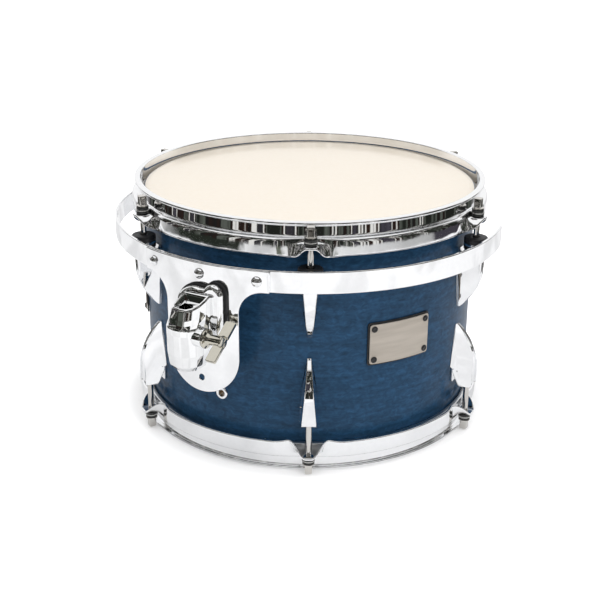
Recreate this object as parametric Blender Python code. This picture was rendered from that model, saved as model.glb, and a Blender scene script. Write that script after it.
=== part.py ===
"""A rack tom: stained wooden shell, two heads, flanged steel hoops, blade lugs and a suspended holder bracket.

Units are metres, +Z is up, the batter head is on top and the drum stands on its lower hoop's rim.
An azimuth is an angle round the shell in degrees, 0 at -Y and growing towards +X.
Pieces on the wall are drawn in a station's own frame: X along the wall, -Y outwards and Z up.
"""

import math

import bmesh
import bpy
from mathutils import Matrix, Vector

# Fits
GAP = 0.0003  # between pieces that rest on each other
RUNNING_GAP = 0.0003  # round a screw in its hole

# Shell
SHELL_DIAMETER = 0.303
SHELL_DEPTH = 0.203
SHELL_WALL = 0.0055
EDGE_APEX = 0.0020  # bearing edge's crest, in from the outer face
EDGE_CHAMFER = 0.0014  # height of the bevel from the crest to the outer face

# Heads
FILM = 0.0003
COLLAR_PLAY = 0.00045  # between the shell and the head's collar
COLLAR_DEPTH = 0.0132
FLESH_HOOP_HEIGHT = 0.009

# Hoops, measured from the rim's plane
RIM_RISE = 0.00915  # rim beyond the bearing edge
HOOP_SHEET = 0.0023
HOOP_WALL_PLAY = 0.003  # hoop's inner face outside the shell's face
LIP_FLARE = 0.0032
LIP_THICKNESS = 0.0028
LEDGE_DROP = 0.0125
LEDGE_WIDTH = 0.0058
LEDGE_ROUND = 0.0018
HOOP_HEIGHT = 0.0275
EAR_DROP = 0.0165
EAR_REACH = 0.0082  # ear's end beyond the rod's axis
EAR_FLAT = 0.005  # half the ear's flat width
EAR_SPREAD = 0.026  # half the width over which the skirt turns into the ear

# Tension rods, one station every sixth of a turn
STATION_COUNT = 6
ROD_STANDOFF = 0.0138  # rod's axis outside the shell's face
ROD_RADIUS = 0.0026
ROD_TIP = 0.0008
ROD_IN_LUG = 0.022
KEY_SQUARE = 0.0063
KEY_HEIGHT = 0.0084
COLLAR_RADIUS = 0.0052
COLLAR_THICKNESS = 0.0013
WASHER_RADIUS = 0.0055
WASHER_THICKNESS = 0.0053

# Lugs, measured from the shell's middle plane and outwards from its face
LUG_TIP = 0.0085
LUG_END = 0.064
LUG_RISE = 0.0192
LUG_CREST = 0.0437  # where the blade reaches its full rise
LUG_FULLNESS = 0.8
LUG_TIP_HALF_WIDTH = 0.0004
LUG_END_HALF_WIDTH = 0.0066
LUG_SWELL = 0.0021  # how far the flanks bow out of a straight taper
LUG_FLANK = 0.0004  # how much wider the blade is at the shell
LUG_FOOT = 0.0012
LUG_NOTCH_START = 0.0486
LUG_END_INNER = 0.0092
LUG_EDGE_ROUND = 0.0014
LUG_BORE_EXTRA = 0.002

# Suspension band
MOUNT_AZIMUTH = -29.4
BAND_RADIUS = 0.1789
BAND_THICKNESS = 0.0024
BAND_BOTTOM = 0.1685
BAND_HEIGHT = 0.0185
BAND_HALF_SPAN = 101.5
TAB_THICKNESS = 0.0023
GROMMET_STATIONS = (0, 1, 4, 5)
GROMMET_RADIUS = 0.0103
GROMMET_FLANGE = 0.003
GROMMET_NECK = 0.0064
GROMMET_CAP = 0.0050
GROMMET_EDGE = 0.0012

# Mount plate, widths measured round the wall
PLATE_THICKNESS = 0.0022
PLATE_HALF_LENGTH = 0.0608
PLATE_HALF_WAIST = 0.035
PLATE_BOTTOM = 0.0735
PLATE_BOTTOM_RADIUS = 0.035
PLATE_SHOULDER = 0.0205
PLATE_HOLE_RADIUS = 0.0027
PLATE_HOLE_HEIGHT = 0.0864
RIVET_COUNT = 3
RIVET_SPACING = 15.9  # degrees
RIVET_RADIUS = 0.0024
RIVET_HEAD_RADIUS = 0.0043
RIVET_HEAD_RISE = 0.0026
RIVET_TAIL_THICKNESS = 0.001

# Holder bracket, widths measured from the socket's axis
GASKET_THICKNESS = 0.0022
GASKET_MARGIN = 0.0012
FLANGE_THICKNESS = 0.006
BODY_LOBE_RADIUS = 0.0205
BODY_LOBE_HEIGHT = 0.1495
CLAMP_LOBE_RADIUS = 0.0100
CLAMP_LOBE_OFFSET = 0.0165
CLAMP_LOBE_HEIGHT = 0.1640
BRACKET_BOTTOM = 0.102
CLAMP_BOTTOM = 0.112
BRACKET_TOP = 0.164  # mouth's rim at the flange
TOWER_LEFT = 0.0175
TOWER_RIGHT = 0.015
MOUTH_LEFT = 0.0094
MOUTH_RIGHT = 0.0153
MOUTH_SLOPE = 0.35  # rim's fall for each metre outwards
NOSE_WALL = 0.0034
SOCKET_RADIUS = 0.0067
SOCKET_STANDOFF = 0.0206  # socket's axis outside the plate's face
DISH_DEPTH = 0.007
DISH_WALL = 0.0022
CLAMP_HEIGHT = 0.133
EYE_WALL = 0.0027
EYE_HEIGHT = 0.011
EYE_TRAVEL = 0.0025
SHANK_RADIUS = 0.0034
SHANK_LENGTH = 0.0315
BOSS_RADIUS = 0.0082
BOSS_END = 0.019
WING_BARREL_RADIUS = 0.0044
WING_BARREL_LENGTH = 0.0169
WING_COLLAR_RADIUS = 0.008
WING_COLLAR = 0.0016
WING_CAP_RADIUS = 0.0056
WING_HALF_SPAN = 0.0197
WING_WIDTH = 0.0094
WING_THICKNESS = 0.0026
WING_ANGLE = 55.0  # upper wing's lean towards the shell
WING_ROOT_OFFSET = 0.0096

# Badge and vent
BADGE_AZIMUTH = 30.0
SIDE_BADGE_AZIMUTH = -90.0
BADGE_GASKET = (0.062, 0.0385, 0.0014)
BADGE_PLATE = (0.0595, 0.0355, 0.0009)
BADGE_CORNER = 0.003
VENT_AZIMUTH = -29.4
VENT_HEIGHT = 0.0591
VENT_BORE = 0.003
VENT_SLEEVE_WALL = 0.0012
VENT_FLANGE_RADIUS = 0.006
VENT_FLANGE = 0.001

# Facets
RING_STEPS = 60
ROD_STEPS = 8
BORE_STEPS = 12
BAND_STEP = 6.0  # degrees
SHEET_STRIP = 0.009

# Sizes that follow from the ones above
SHELL_RADIUS = SHELL_DIAMETER / 2
HEIGHT = SHELL_DEPTH + 2 * RIM_RISE
MIDDLE = HEIGHT / 2
HOOP_INNER = SHELL_RADIUS + HOOP_WALL_PLAY
HOOP_OUTER = HOOP_INNER + HOOP_SHEET
SKIRT_OUTER = HOOP_OUTER + LEDGE_WIDTH
ROD_CIRCLE = SHELL_RADIUS + ROD_STANDOFF
EAR_NECK = ROD_CIRCLE - WASHER_RADIUS - GAP
COLLAR_INNER = SHELL_RADIUS + COLLAR_PLAY
LUG_FACE = SHELL_RADIUS + GAP
ROD_HOLE = ROD_RADIUS + 2 * RUNNING_GAP
BAND_TOP = BAND_BOTTOM + BAND_HEIGHT
GROMMET_SEAT = MIDDLE + LUG_END + GAP
TAB_BOTTOM = GROMMET_SEAT + GROMMET_FLANGE + GAP
RIVET_HEIGHT = BAND_BOTTOM + BAND_HEIGHT / 2
PLATE_FACE = BAND_RADIUS + GAP + PLATE_THICKNESS
GASKET_FACE = PLATE_FACE + GAP + GASKET_THICKNESS
FLANGE_BACK = GASKET_FACE + GAP
SOCKET_AXIS = PLATE_FACE + SOCKET_STANDOFF
EYE_RADIUS = SOCKET_RADIUS + EYE_WALL
STATION_AZIMUTHS = [360.0 / STATION_COUNT * i for i in range(STATION_COUNT)]


def material(name, colour, roughness, metallic, alpha=1.0):
    """A Principled material with one finish."""
    made = bpy.data.materials.new(name)
    made.use_nodes = True
    shader = made.node_tree.nodes["Principled BSDF"]
    shader.inputs["Base Color"].default_value = (*colour, 1.0)
    shader.inputs["Roughness"].default_value = roughness
    shader.inputs["Metallic"].default_value = metallic
    shader.inputs["Alpha"].default_value = alpha
    return made


def empty(name, parent=None, location=(0, 0, 0), turn=0.0):
    """A locating point that pieces hang from, turned about Z by an azimuth."""
    made = bpy.data.objects.new(name, None)
    made.location = location
    made.rotation_euler = (0, 0, math.radians(turn))
    made.parent = parent
    bpy.context.collection.objects.link(made)
    return made


def mesh_from(bm, name, sharp=35.0):
    """Mesh with outward faces, smooth except along edges sharper than an angle."""
    bmesh.ops.remove_doubles(bm, verts=bm.verts, dist=1e-6)
    bmesh.ops.recalc_face_normals(bm, faces=bm.faces)
    mesh = bpy.data.meshes.new(name)
    bm.to_mesh(mesh)
    bm.free()
    mesh.shade_smooth()
    mesh.set_sharp_from_angle(angle=math.radians(sharp))
    return mesh


def place(name, mesh, finish, parent, location=(0, 0, 0)):
    """A named piece made of a mesh, under its station."""
    if not mesh.materials:
        mesh.materials.append(finish)
    made = bpy.data.objects.new(name, mesh)
    made.location = location
    made.parent = parent
    bpy.context.collection.objects.link(made)
    return made


def cutter(name, mesh, parent, location=(0, 0, 0)):
    """A guide solid that only shapes its neighbours."""
    made = bpy.data.objects.new(name, mesh)
    made.location = location
    made.parent = parent
    made.display_type = "WIRE"
    made.hide_render = True
    bpy.context.collection.objects.link(made)
    return made


def boolean(piece, tool, operation="DIFFERENCE"):
    """Cut a piece by a tool, or join the tool to it."""
    step = piece.modifiers.new(tool.name, "BOOLEAN")
    step.operation = operation
    step.solver = "EXACT"
    step.object = tool


def revolve(profile, steps, closed=True):
    """Turn a profile of (radius, height) about Z; an open profile starts and ends on the axis."""
    bm = bmesh.new()
    verts = [bm.verts.new((r, 0, z)) for r, z in profile]
    pairs = list(zip(verts, verts[1:] + verts[:1]))
    edges = [bm.edges.new(pair) for pair in (pairs if closed else pairs[:-1])]
    bmesh.ops.spin(bm, geom=verts + edges, cent=(0, 0, 0), axis=(0, 0, 1), angle=2 * math.pi, steps=steps,
                   use_merge=True)
    bmesh.ops.dissolve_degenerate(bm, dist=1e-7, edges=bm.edges)
    return bm


def ring_profile(inner, outer, low, high):
    """Rectangular section of a ring."""
    return [(inner, low), (outer, low), (outer, high), (inner, high)]


def rod_profile(radius, low, high):
    """Half section of a plain round bar."""
    return [(0, low), (radius, low), (radius, high), (0, high)]


def bar(radius, low, high, steps=ROD_STEPS):
    """A round bar along Z."""
    return revolve(rod_profile(radius, low, high), steps, closed=False)


def loft(sections, endless=False):
    """Skin a list of rings of points, closed by flat ends or back on itself, with every face flat."""
    bm = bmesh.new()
    rings = [[bm.verts.new(point) for point in section] for section in sections]
    following = rings[1:] + rings[:1] if endless else rings[1:]
    for here, there in zip(rings, following):
        for i in range(len(here)):
            j = (i + 1) % len(here)
            bm.faces.new((here[i], here[j], there[j], there[i]))
    if not endless:
        bm.faces.new(rings[0])
        bm.faces.new(rings[-1])
    bmesh.ops.triangulate(bm, faces=bm.faces)
    return bm


def gang(shapes):
    """Several shapes, apart from each other, as one."""
    bm = bmesh.new()
    for shape in shapes:
        mesh = mesh_from(shape, "gang")
        bm.from_mesh(mesh)
        bpy.data.meshes.remove(mesh)
    return bm


def turned(bm, matrix):
    """Move a shape by a matrix before it becomes a mesh."""
    bmesh.ops.transform(bm, matrix=matrix, verts=bm.verts)
    return bm


def on_rod_line(azimuth):
    """Matrix that carries a shape on the Z axis to a tension rod's axis."""
    return Matrix.Rotation(math.radians(azimuth), 4, "Z") @ Matrix.Translation((0, -ROD_CIRCLE, 0))


def outwards(distance, height):
    """Matrix that lays a Z axis along -Y, from a point that far out and that high."""
    return Matrix.Translation((0, -distance, height)) @ Matrix.Rotation(math.pi / 2, 4, "X")


def sideways(distance, height):
    """Matrix that lays a Z axis along +X, through a point that far out and that high."""
    return Matrix.Translation((0, -distance, height)) @ Matrix.Rotation(math.pi / 2, 4, "Y")


def arc(centre, radius, start, end, steps):
    """Points on an arc in the plane of a sheet, angles in degrees from +X."""
    points = []
    for i in range(steps + 1):
        angle = math.radians(start + (end - start) * i / steps)
        points.append((centre[0] + radius * math.cos(angle), centre[1] + radius * math.sin(angle)))
    return points


def bent_sheet(outline, back, thickness, strip=SHEET_STRIP):
    """Flat outline of (width, height) cut in upright strips, thickened, then bent round the drum's axis."""
    bm = bmesh.new()
    bm.faces.new([bm.verts.new((x, 0, z)) for x, z in outline])
    widest = max(abs(x) for x, _ in outline)
    count = int(widest / strip)
    for i in range(-count, count + 1):
        bmesh.ops.bisect_plane(bm, geom=bm.verts[:] + bm.edges[:] + bm.faces[:], plane_co=(i * strip, 0, 0),
                               plane_no=(1, 0, 0))
    skin = bmesh.ops.extrude_face_region(bm, geom=bm.faces[:])["geom"]
    for item in skin:
        if isinstance(item, bmesh.types.BMVert):
            item.co.y = thickness
    for vert in bm.verts:
        angle = vert.co.x / (back + thickness)
        radius = back + vert.co.y
        vert.co = Vector((radius * math.sin(angle), -radius * math.cos(angle), vert.co.z))
    bmesh.ops.triangulate(bm, faces=bm.faces)
    return bm


def shell(drum, stain):
    """Ply shell with a 45 degree cut inside each bearing edge and a small bevel outside."""
    inner = SHELL_RADIUS - SHELL_WALL
    crest = SHELL_RADIUS - EDGE_APEX
    low = RIM_RISE
    high = HEIGHT - RIM_RISE
    cut = crest - inner
    profile = [(inner, low + cut), (crest, low), (SHELL_RADIUS, low + EDGE_CHAMFER),
               (SHELL_RADIUS, high - EDGE_CHAMFER), (crest, high), (inner, high - cut)]
    piece = place("shell", mesh_from(revolve(profile, RING_STEPS), "shell"), stain, drum)
    reach = SHELL_WALL * 2
    hole = bar(VENT_BORE + VENT_SLEEVE_WALL + GAP, -reach, reach)
    station = empty("vent_hole_station", drum, turn=VENT_AZIMUTH)
    tool = cutter("vent_hole", mesh_from(turned(hole, outwards(SHELL_RADIUS, VENT_HEIGHT)), "vent_hole"), station)
    boolean(piece, tool)


def head(side, edge, away, drum, clear, metal):
    """One head: clear film drawn over the bearing edge, its collar inside a metal flesh hoop."""
    film = edge + away * GAP
    crest = SHELL_RADIUS - EDGE_APEX
    collar = film - away * EDGE_CHAMFER * (COLLAR_INNER - crest) / EDGE_APEX
    hem = edge - away * COLLAR_DEPTH
    path = [(0, film), (crest, film), (COLLAR_INNER, collar), (COLLAR_INNER, hem), (COLLAR_INNER + FILM, hem),
            (COLLAR_INNER + FILM, collar + away * FILM / 2), (crest + FILM / 3, film + away * FILM),
            (0, film + away * FILM)]
    place(f"{side}_head_film", mesh_from(revolve(path, RING_STEPS, closed=False), f"{side}_head_film"), clear, drum)
    top = edge + away * (RIM_RISE - LEDGE_DROP - HOOP_SHEET - GAP)
    ring = ring_profile(COLLAR_INNER + FILM + GAP, EAR_NECK - HOOP_SHEET - GAP, top - away * FLESH_HOOP_HEIGHT, top)
    place(f"{side}_flesh_hoop", mesh_from(revolve(ring, RING_STEPS), f"{side}_flesh_hoop"), metal, drum)


def smooth(value):
    """Ease from 0 to 1."""
    value = min(max(value, 0.0), 1.0)
    return value * value * (3 - 2 * value)


def hoop_section(offset):
    """Section of the hoop as (radius, depth below the rim), at a distance round the wall from the nearest rod.

    The skirt hangs down between the rods. Close to a rod it swings up and outwards about its bend, at an even
    rate, until it lies flat as the ear, while the ledge above it draws in to clear the washers.
    """
    share = min(max((abs(offset) - EAR_FLAT) / (EAR_SPREAD - EAR_FLAT), 0.0), 1.0)
    down = smooth(share)
    swing = math.radians(90 * share)
    corner = EAR_NECK + (SKIRT_OUTER - EAR_NECK) * down
    bend_depth = EAR_DROP + (LEDGE_DROP + LEDGE_ROUND - EAR_DROP) * down
    ear_length = ROD_CIRCLE + EAR_REACH - EAR_NECK
    skirt_length = HOOP_HEIGHT - LEDGE_DROP - LEDGE_ROUND
    length = ear_length + (skirt_length - ear_length) * down
    along = (math.cos(swing), math.sin(swing))
    inward = (-math.sin(swing), math.cos(swing))
    tip = (corner + length * along[0], bend_depth + length * along[1])
    tip_inner = (tip[0] + HOOP_SHEET * inward[0], tip[1] + HOOP_SHEET * inward[1])
    inner_bend = (corner - HOOP_SHEET, bend_depth + HOOP_SHEET * (1 - 0.6 * down))
    lip = HOOP_OUTER + LIP_FLARE
    soft = LIP_THICKNESS * 0.25
    return [
        (lip, LIP_THICKNESS), (lip, soft), (lip - soft, 0), (HOOP_INNER, 0),
        (HOOP_INNER, LEDGE_DROP + HOOP_SHEET), (corner - HOOP_SHEET, LEDGE_DROP + HOOP_SHEET), inner_bend,
        tip_inner, tip, (corner, bend_depth), (corner - LEDGE_ROUND, LEDGE_DROP), (HOOP_OUTER, LEDGE_DROP),
        (HOOP_OUTER, LIP_THICKNESS),
    ]


def hoop_offsets():
    """Distances round the wall, from one rod to the next, at which the hoop's section is drawn."""
    sector = 2 * math.pi / STATION_COUNT * ROD_CIRCLE
    turn = EAR_SPREAD - EAR_FLAT
    near = [EAR_FLAT + turn * share for share in (0, 0.25, 0.5, 0.75, 1)]
    plain = 4
    wide = [EAR_SPREAD + (sector - 2 * EAR_SPREAD) * i / (plain + 1) for i in range(1, plain + 1)]
    return near + wide + [sector - x for x in reversed(near)], sector


def hoop(side, rim, away, drum, chrome):
    """Triple-flanged hoop, skinned from sections that change round each of its ears."""
    offsets, sector = hoop_offsets()
    rings = []
    for station in range(STATION_COUNT):
        for offset in offsets:
            nearest = min(offset, sector - offset)
            azimuth = (station + offset / sector) * 2 * math.pi / STATION_COUNT
            ring = [(r * math.sin(azimuth), -r * math.cos(azimuth), rim - away * depth)
                    for r, depth in hoop_section(nearest)]
            rings.append(ring)
    piece = place(f"{side}_hoop", mesh_from(loft(rings, endless=True), f"{side}_hoop"), chrome, drum)
    middle = rim - away * (EAR_DROP + HOOP_SHEET / 2)
    drills = []
    for azimuth in STATION_AZIMUTHS:
        drill = bar(ROD_HOLE, middle - 2 * HOOP_SHEET, middle + 2 * HOOP_SHEET)
        drills.append(turned(drill, on_rod_line(azimuth)))
    boolean(piece, cutter(f"{side}_ear_drills", mesh_from(gang(drills), f"{side}_ear_drills"), drum))


def lug_profile():
    """Side outline of a blade lug as (rise, distance from the middle plane): outer curve, end, notch and foot."""
    points = []
    for share in (0, 0.07, 0.28, 0.6, 1):
        rise = LUG_RISE * math.sin(math.pi / 2 * share) ** LUG_FULLNESS
        points.append((rise, LUG_TIP + (LUG_CREST - LUG_TIP) * share))
    points += [(LUG_RISE - 0.0003, LUG_END - LUG_EDGE_ROUND), (LUG_RISE - LUG_EDGE_ROUND, LUG_END)]
    points += [(LUG_END_INNER, LUG_END), (LUG_FOOT, LUG_NOTCH_START), (LUG_FOOT, LUG_END), (0, LUG_END)]
    return points


def lug_half_width(rise, distance):
    """Half width of a lug: a taper from its tip with bowed flanks, a little wider at the shell."""
    share = (distance - LUG_TIP) / (LUG_END - LUG_TIP)
    outer = LUG_TIP_HALF_WIDTH + (LUG_END_HALF_WIDTH - LUG_TIP_HALF_WIDTH) * share + LUG_SWELL * share * (1 - share)
    return outer + LUG_FLANK * (1 - rise / LUG_RISE) * (1 - share)


def lug_mesh(up):
    """Cast blade lug, skinned across its width, with the rod's bore up its end."""
    sections = []
    for side, lowered in ((-1, True), (-0.6, False), (0.6, False), (1, True)):
        section = []
        for rise, distance in lug_profile():
            sunk = LUG_EDGE_ROUND * 0.6 * rise / LUG_RISE if lowered else 0
            out = LUG_FACE + rise - sunk
            section.append((side * lug_half_width(rise, distance), -out, MIDDLE + up * distance))
        sections.append(section)
    return mesh_from(loft(sections), "upper_lug" if up > 0 else "lower_lug", sharp=50)


def rod_mesh(away):
    """Tension rod: square key head, round collar, shaft and chamfered tip, along its own axis from the rim's plane."""
    head_low = EAR_DROP - GAP - WASHER_THICKNESS - GAP - COLLAR_THICKNESS
    collar_low = head_low + COLLAR_THICKNESS
    end = HEIGHT - (MIDDLE + LUG_END) + ROD_IN_LUG

    def square(depth, width):
        corners = []
        for i in range(ROD_STEPS):
            angle = 2 * math.pi * i / ROD_STEPS
            reach = width / 2 / max(abs(math.cos(angle)), abs(math.sin(angle)))
            corners.append((reach * math.cos(angle), reach * math.sin(angle), -away * depth))
        return corners

    def circle(depth, radius):
        return [(radius * math.cos(2 * math.pi * i / ROD_STEPS),
                 radius * math.sin(2 * math.pi * i / ROD_STEPS), -away * depth) for i in range(ROD_STEPS)]

    sections = [square(head_low - KEY_HEIGHT, KEY_SQUARE), square(head_low, KEY_SQUARE),
                circle(head_low, COLLAR_RADIUS), circle(collar_low, COLLAR_RADIUS), circle(collar_low, ROD_RADIUS),
                circle(end - ROD_TIP, ROD_RADIUS), circle(end, ROD_RADIUS - ROD_TIP)]
    return mesh_from(loft(sections), "upper_rod" if away > 0 else "lower_rod")


def tension(side, rim, away, drum, chrome, nylon):
    """Lug, washer and tension rod at each station of one side."""
    lug = lug_mesh(away)
    rod = rod_mesh(away)
    ear = rim - away * EAR_DROP
    washer_ends = sorted((ear + away * GAP, ear + away * (GAP + WASHER_THICKNESS)))
    washer = mesh_from(revolve(ring_profile(ROD_HOLE, WASHER_RADIUS, *washer_ends), ROD_STEPS), f"{side}_washer")
    bore_end = MIDDLE + away * (LUG_END - ROD_IN_LUG - LUG_BORE_EXTRA)
    mouth = MIDDLE + away * (LUG_END + LUG_BORE_EXTRA)
    drill = mesh_from(bar(ROD_RADIUS + RUNNING_GAP, *sorted((bore_end, mouth))), f"{side}_lug_drill")
    for number, azimuth in enumerate(STATION_AZIMUTHS, 1):
        station = empty(f"{side}_station_{number}", drum, turn=azimuth)
        body = place(f"{side}_lug_{number}", lug, chrome, station)
        boolean(body, cutter(f"{side}_lug_drill_{number}", drill, station, (0, -ROD_CIRCLE, 0)))
        place(f"{side}_washer_{number}", washer, nylon, station, (0, -ROD_CIRCLE, 0))
        place(f"{side}_rod_{number}", rod, chrome, station, (0, -ROD_CIRCLE, rim))


def band(drum, chrome):
    """Steel strip round the drum, open at the back, with a drilled tab over each lug that carries it."""
    inner = BAND_RADIUS - BAND_THICKNESS
    steps = round(2 * BAND_HALF_SPAN / BAND_STEP)
    sections = []
    for i in range(steps + 1):
        angle = math.radians(MOUNT_AZIMUTH - BAND_HALF_SPAN + 2 * BAND_HALF_SPAN * i / steps)
        out = (math.sin(angle), -math.cos(angle))
        section = ring_profile(inner, BAND_RADIUS, BAND_BOTTOM, BAND_TOP)
        sections.append([(r * out[0], r * out[1], z) for r, z in section])
    piece = place("mount_band", mesh_from(loft(sections), "mount_band"), chrome, drum)
    weld = inner + BAND_THICKNESS / 2 - ROD_CIRCLE
    tabs = []
    drills = rivet_drills()
    for index in GROMMET_STATIONS:
        outline = arc((0, 0), GROMMET_RADIUS, 0, 180, 8) + [(-GROMMET_RADIUS, -weld), (GROMMET_RADIUS, -weld)]
        tab = loft([[(x, y, z) for x, y in outline] for z in (TAB_BOTTOM, TAB_BOTTOM + TAB_THICKNESS)])
        tabs.append(turned(tab, on_rod_line(STATION_AZIMUTHS[index])))
        drill = bar(GROMMET_NECK + GAP * 2, TAB_BOTTOM - TAB_THICKNESS, TAB_BOTTOM + 2 * TAB_THICKNESS, BORE_STEPS)
        drills.append(turned(drill, on_rod_line(STATION_AZIMUTHS[index])))
        grommet(index + 1, empty(f"tab_station_{index + 1}", drum, turn=STATION_AZIMUTHS[index]))
    boolean(piece, cutter("tabs", mesh_from(gang(tabs), "tabs"), drum), "UNION")
    boolean(piece, cutter("band_drills", mesh_from(gang(drills), "band_drills"), drum))
    for number in range(RIVET_COUNT):
        rivet(number, drum, chrome)


def grommet(number, station):
    """Rubber grommet in a tab: flange on the lug's end, neck in the tab's hole and a flat cap above."""
    bore = ROD_RADIUS + RUNNING_GAP
    under = TAB_BOTTOM - GAP
    over = TAB_BOTTOM + TAB_THICKNESS + GAP
    top = over + GROMMET_CAP
    profile = [
        (bore, GROMMET_SEAT), (GROMMET_RADIUS, GROMMET_SEAT), (GROMMET_RADIUS, under), (GROMMET_NECK, under),
        (GROMMET_NECK, over), (GROMMET_RADIUS, over), (GROMMET_RADIUS, top - GROMMET_EDGE),
        (GROMMET_RADIUS - GROMMET_EDGE, top), (bore, top),
    ]
    rubber = bpy.data.materials["black_rubber"]
    mesh = mesh_from(revolve(profile, BORE_STEPS), "grommet", sharp=50)
    place(f"grommet_{number}", mesh, rubber, station, (0, -ROD_CIRCLE, 0))


def rivet_azimuth(number):
    """Where a rivet stands round the drum, in degrees."""
    return MOUNT_AZIMUTH + (number - (RIVET_COUNT - 1) / 2) * RIVET_SPACING


def rivet_drills():
    """Tools for the rivets' holes through the band and the plate."""
    low = BAND_RADIUS - 3 * BAND_THICKNESS
    high = PLATE_FACE + 2 * PLATE_THICKNESS
    drills = []
    for number in range(RIVET_COUNT):
        turn = Matrix.Rotation(math.radians(rivet_azimuth(number)), 4, "Z")
        drills.append(turned(bar(RIVET_RADIUS + GAP, low, high), turn @ outwards(0, RIVET_HEIGHT)))
    return drills


def rivet(number, drum, chrome):
    """Dome-headed rivet through the plate and the band."""
    station = empty(f"rivet_station_{number + 1}", drum, turn=rivet_azimuth(number))
    face = PLATE_FACE + GAP
    tail = BAND_RADIUS - BAND_THICKNESS - 2 * GAP
    low = tail - RIVET_TAIL_THICKNESS
    profile = [
        (0, low), (RIVET_HEAD_RADIUS, low), (RIVET_HEAD_RADIUS, tail), (RIVET_RADIUS, tail), (RIVET_RADIUS, face),
        (RIVET_HEAD_RADIUS, face), (RIVET_HEAD_RADIUS * 0.85, face + RIVET_HEAD_RISE * 0.65),
        (RIVET_HEAD_RADIUS * 0.45, face + RIVET_HEAD_RISE), (0, face + RIVET_HEAD_RISE),
    ]
    body = turned(revolve(profile, ROD_STEPS, closed=False), outwards(0, RIVET_HEIGHT))
    place(f"plate_rivet_{number + 1}", mesh_from(body, "plate_rivet"), chrome, station)


def plate_outline():
    """Shield outline: a cross bar as tall as the band, hollow shoulders and a rounded lower end."""
    half = []
    shoulder_centre = (PLATE_HALF_WAIST + PLATE_SHOULDER, BAND_BOTTOM - PLATE_SHOULDER)
    half += [(PLATE_HALF_LENGTH, BAND_TOP), (PLATE_HALF_LENGTH, BAND_BOTTOM)]
    half += arc(shoulder_centre, PLATE_SHOULDER, 90, 180, 5)
    half += arc((0, PLATE_BOTTOM + PLATE_BOTTOM_RADIUS), PLATE_BOTTOM_RADIUS, 0, -90, 8)
    mirrored = [(-x, z) for x, z in reversed(half) if x > 1e-6]
    return half + mirrored


def plate(drum, chrome):
    """Bracket plate bent to the band's curve, with one round hole near its foot."""
    station = empty("plate_station", drum, turn=MOUNT_AZIMUTH)
    back = BAND_RADIUS + GAP
    piece = place("mount_plate", mesh_from(bent_sheet(plate_outline(), back, PLATE_THICKNESS), "mount_plate"),
                  chrome, station)
    drill = turned(bar(PLATE_HOLE_RADIUS, back - PLATE_THICKNESS, back + 2 * PLATE_THICKNESS),
                   Matrix.Rotation(math.radians(MOUNT_AZIMUTH), 4, "Z") @ outwards(0, PLATE_HOLE_HEIGHT))
    drills = mesh_from(gang(rivet_drills() + [drill]), "plate_drills")
    boolean(piece, cutter("plate_drills", drills, drum))


def bracket_outline(inset=0.0):
    """Foot of the bracket: a tall lobe behind the socket and a shorter one behind the clamp."""
    body = BODY_LOBE_RADIUS - inset
    side = CLAMP_LOBE_RADIUS - inset
    right = CLAMP_LOBE_OFFSET + side
    cusp = 35
    points = arc((CLAMP_LOBE_OFFSET, CLAMP_LOBE_HEIGHT), side, 0, 150, 6)
    points += arc((0, BODY_LOBE_HEIGHT), body, 90 - cusp * 0.4, 180, 6)
    points += [(-body, BRACKET_BOTTOM + 2 * body / 3 + inset), (-body * 0.6, BRACKET_BOTTOM + inset)]
    points += [(body * 0.2, BRACKET_BOTTOM + inset), (right * 0.5, CLAMP_BOTTOM + inset)]
    points += [(right, CLAMP_HEIGHT - BOSS_RADIUS + inset)]
    return points


def bracket_section(height, left, right, nose, point, slope=0.0, back=FLANGE_BACK + FLANGE_THICKNESS / 2):
    """Outline of the bracket's body: flanks from the flange and a nose, on a plane that falls outwards by a slope.

    point, from 0 to 1, turns the round nose of the lower body into the mouth's, which has one sharp corner.
    """
    broad = [(-1, 0), (-1, 0.45), (-0.88, 0.72), (-0.62, 0.9), (-0.22, 1)]
    broad += [(-u, v) for u, v in reversed(broad)]
    mouth = [(-1, 0), (-0.98, 0.45), (-0.93, 0.82), (-0.74, 0.95), (0, 1)]
    mouth += [(0.42, 0.98), (0.72, 0.84), (0.92, 0.6), (1, 0.3), (1, 0)]
    outline = [(a[0] + (b[0] - a[0]) * point, a[1] + (b[1] - a[1]) * point) for a, b in zip(broad, mouth)]
    reach = nose - back
    return [((-left if u < 0 else right) * abs(u), -(back + reach * v), height - slope * reach * v)
            for u, v in outline]


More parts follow.
